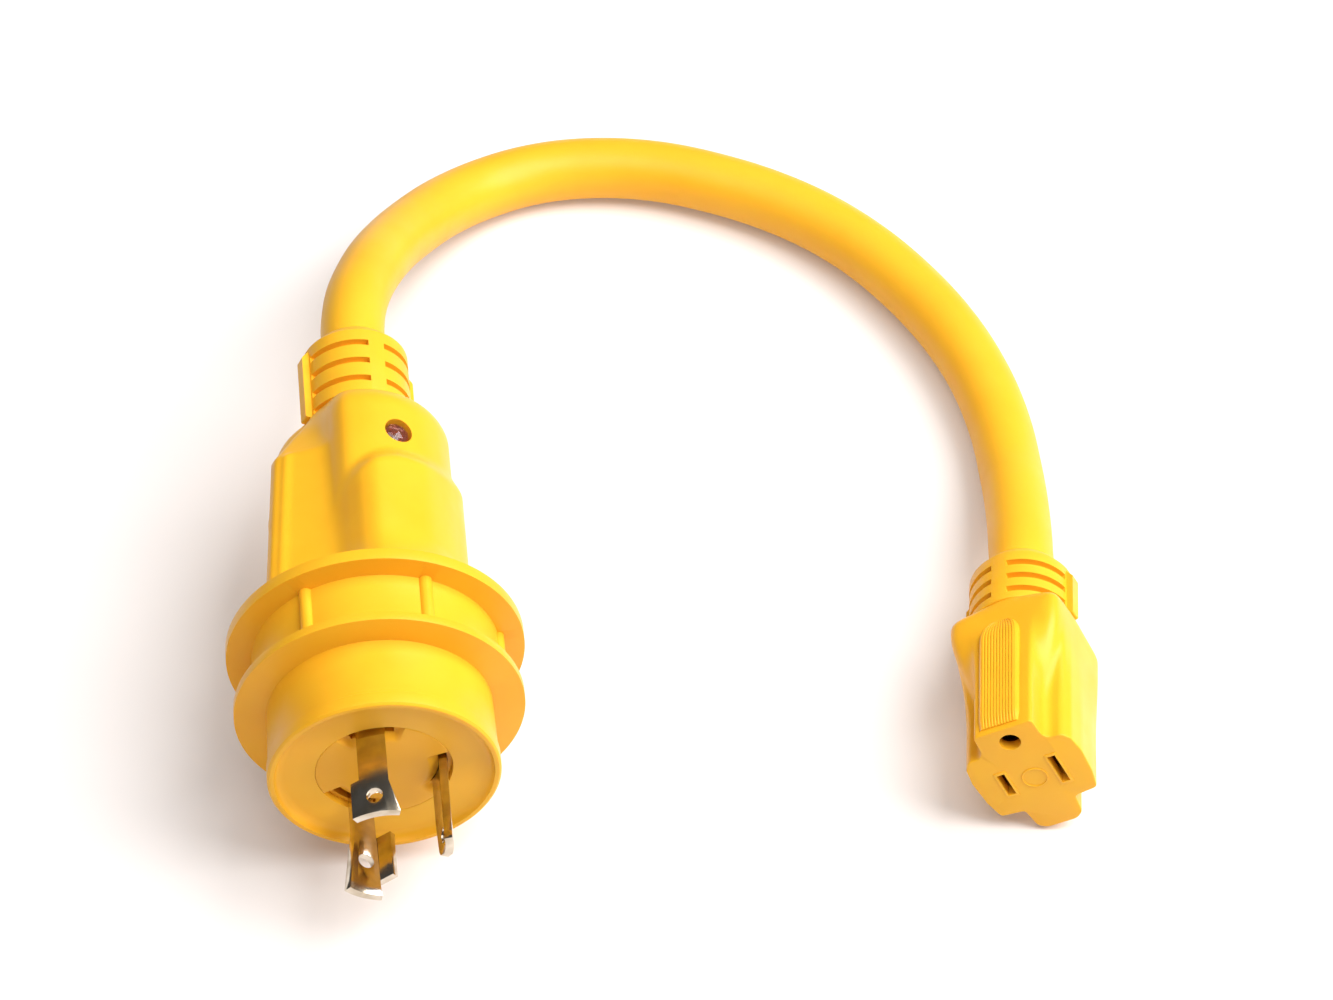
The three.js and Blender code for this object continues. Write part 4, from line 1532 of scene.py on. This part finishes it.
# -------------------------------------------------------------------------- the cord
@dataclass
class Cord:
    """The jacketed cord, drawn along its centre line between the two ends."""

    radius: float = 7.45 * MM
    plug_stations: tuple[float, ...] = (106, 112, 118)
    connector_stations: tuple[float, ...] = (55, 50, 45)
    aside_from: float = 0.085
    aside_to: float = 0.040
    between: int = 7
    roundness: int = 10

    def centre_line(self) -> list[Vector]:
        """The line through both sleeves and the route, on one smooth curve.

        Returns:
            Points close together, in metres.
        """
        plug, connector = PLUG_PLACE.matrix(), CONNECTOR_PLACE.matrix()
        marks = [plug @ Vector((0, s, 0)) for s in self.plug_stations]
        marks += [Vector((x + self.aside(x, y), y, z)) for x, y, z in CORD_ROUTE]
        marks += [
            connector @ Vector((CABLE_ASIDE, s, CABLE_RISE)) for s in self.connector_stations
        ]
        line = []
        padded = [2 * marks[0] - marks[1], *marks, 2 * marks[-1] - marks[-2]]
        for before, start, end, after in zip(padded, padded[1:], padded[2:], padded[3:]):
            for step in range(self.between):
                line.append(between_marks(before, start, end, after, step / self.between))
        line.append(marks[-1])
        return line

    def aside(self, x: float, y: float) -> float:
        """How far the cord draws aside where it comes up to the connector.

        Args:
            x: A point's place across, in metres.
            y: Its place along the connector, in metres.

        Returns:
            The shift in metres.
        """
        near = smooth((self.aside_from - y) / (self.aside_from - self.aside_to))
        return CABLE_ASIDE * MM * near if x > 0 else 0.0

    def build(self, sleeves: Sequence[bpy.types.Object]) -> bpy.types.Object:
        """Args:
            sleeves: The relief sleeves at its two ends; not used.

        Returns:
            The finished piece.
        """
        line = self.centre_line()
        curve = bpy.data.curves.new("cord", "CURVE")
        curve.dimensions = "3D"
        spline = curve.splines.new("POLY")
        spline.points.add(len(line) - 1)
        for point, place in zip(spline.points, line):
            point.co = (*place, 1)
        curve.bevel_depth = self.radius
        curve.bevel_resolution = self.roundness
        curve.use_fill_caps = True
        curve.twist_mode = "Z_UP"
        piece = bpy.data.objects.new("yellow_cord", curve)
        bpy.context.collection.objects.link(piece)
        curve.materials.append(finish_of(YELLOW_JACKET))
        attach(piece, ROOT)
        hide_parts("cord_jacket")
        return piece


def between_marks(before: Vector, start: Vector, end: Vector, after: Vector, t: float) -> Vector:
    """A point of the smooth curve through four marks.

    Args:
        before: The mark before the stretch.
        start: Where the stretch starts.
        end: Where it ends.
        after: The mark after it.
        t: Share of the stretch, from nought to one.

    Returns:
        The point on the curve.
    """
    knots = [0.0]
    for a, b in ((before, start), (start, end), (end, after)):
        knots.append(knots[-1] + max(math.sqrt((b - a).length), 1e-6))
    k0, k1, k2, k3 = knots
    u = mix(k1, k2, t)
    low = before.lerp(start, (u - k0) / (k1 - k0))
    middle = start.lerp(end, (u - k1) / (k2 - k1))
    high = end.lerp(after, (u - k2) / (k3 - k2))
    first = low.lerp(middle, (u - k0) / (k2 - k0))
    second = middle.lerp(high, (u - k1) / (k3 - k1))
    return first.lerp(second, (u - k1) / (k2 - k1))


# ------------------------------------------------------------------------ the studio
@dataclass(frozen=True)
class SoftLight:
    """A square area light that is aimed at the object, in metres and watts."""

    name: str
    place: tuple[float, float, float]
    size: float
    power: float
    aim: tuple[float, float, float] = (0, 0.05, 0.02)

    def build(self) -> None:
        """Adds the light."""
        data = bpy.data.lights.new(self.name, "AREA")
        data.shape = "SQUARE"
        data.size = self.size
        data.energy = self.power
        lamp = bpy.data.objects.new(self.name, data)
        lamp.location = self.place
        ahead = Vector(self.aim) - Vector(self.place)
        lamp.rotation_euler = ahead.to_track_quat("-Z", "Y").to_euler()
        bpy.context.collection.objects.link(lamp)


@dataclass
class Studio:
    """A pale table, soft lights and the camera."""

    aim: tuple[float, float, float] = (0.0007, 0.06327, 0.0001)
    distance: float = 1.41892
    elevation: float = 46.09 * DEG
    lens: float = 162.9
    lights: tuple[SoftLight, ...] = (
        SoftLight("key", (1.05, -0.05, 1.4), 1.6, 60.0),
        SoftLight("top", (-0.15, -0.4, 1.6), 1.1, 13.0),
    )
    surround: float = 0.08
    floor_level: float = -0.0006
    floor_colour: tuple[float, float, float, float] = (0.72, 0.68, 0.66, 1)
    floor_glow: float = 0.16

    def build(self) -> None:
        """Adds the camera, the lights, the world and the floor."""
        self.camera()
        for light in self.lights:
            light.build()
        self.world()
        self.floor()
        scene = bpy.context.scene
        scene.view_settings.view_transform = "Standard"
        scene.view_settings.look = "None"

    def camera(self) -> None:
        """Adds the camera at its viewing angle."""
        data = bpy.data.cameras.new("camera")
        data.lens = self.lens
        data.sensor_width = 36
        camera = bpy.data.objects.new("camera", data)
        back = Vector((0, -math.cos(self.elevation), math.sin(self.elevation)))
        camera.location = Vector(self.aim) + back * self.distance
        camera.rotation_euler = (-back).to_track_quat("-Z", "Y").to_euler()
        bpy.context.collection.objects.link(camera)
        bpy.context.scene.camera = camera

    def world(self) -> None:
        """Adds a faint even surround."""
        world = bpy.data.worlds.new("surround")
        world.use_nodes = True
        sky = world.node_tree.nodes["Background"]
        sky.inputs["Color"].default_value = (1, 1, 1, 1)
        sky.inputs["Strength"].default_value = self.surround
        bpy.context.scene.world = world

    def floor(self) -> None:
        """Adds the plain pale table."""
        made = bmesh.new()
        bmesh.ops.create_grid(made, x_segments=1, y_segments=1, size=6)
        mesh = bpy.data.meshes.new("table")
        made.to_mesh(mesh)
        made.free()
        floor = bpy.data.objects.new("table", mesh)
        floor.location.z = self.floor_level
        bpy.context.collection.objects.link(floor)
        paper = Surface("pale_paper").finished(
            Base_Color=self.floor_colour, Emission_Color=(1, 1, 1, 1),
            Emission_Strength=self.floor_glow, Roughness=0.9, Specular_IOR_Level=0.1,
        )
        mesh.materials.append(paper)


# ------------------------------------------------------------------------------ main
def dress_hidden() -> None:
    """Gives every inner piece its real finish."""
    for name, finish in HIDDEN_FINISHES.items():
        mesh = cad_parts[name].data
        mesh.materials.clear()
        mesh.materials.append(finish_of(finish))
        log.info("%s: %s", name, finish.name)


def main() -> None:
    """Builds the whole object and its studio."""
    logging.basicConfig(level=logging.INFO, format="%(name)s %(message)s")
    Studio().build()
    plug_sleeve = ReliefSleeve(
        Label("plug_sleeve", "plug_strain_relief", "yellow_sleeve", YELLOW_SLEEVE),
        PLUG_PLACE.matrix(), radius=12.3, start=99.3, end=124.0, tip=9.2,
        rows=(116.4, 111.0, 105.6, 100.4), anchor=87.0, crown_angle=65,
    ).build()
    connector_sleeve = ReliefSleeve(
        Label("connector_sleeve", "connector_strain_relief", "yellow_sleeve", YELLOW_SLEEVE),
        CONNECTOR_PLACE.matrix(), radius=12.0, start=41.2, end=59.4, tip=9.4,
        rows=(52.4, 48.2, 44.0), anchor=38.5, crown_angle=92, aside=CABLE_ASIDE,
        rise=CABLE_RISE, fin_reach=13.5,
    ).build()
    Cord().build([plug_sleeve, connector_sleeve])
    LockingPlug().build()
    StraightConnector().build()
    dress_hidden()


if __name__ == "__main__":
    main()
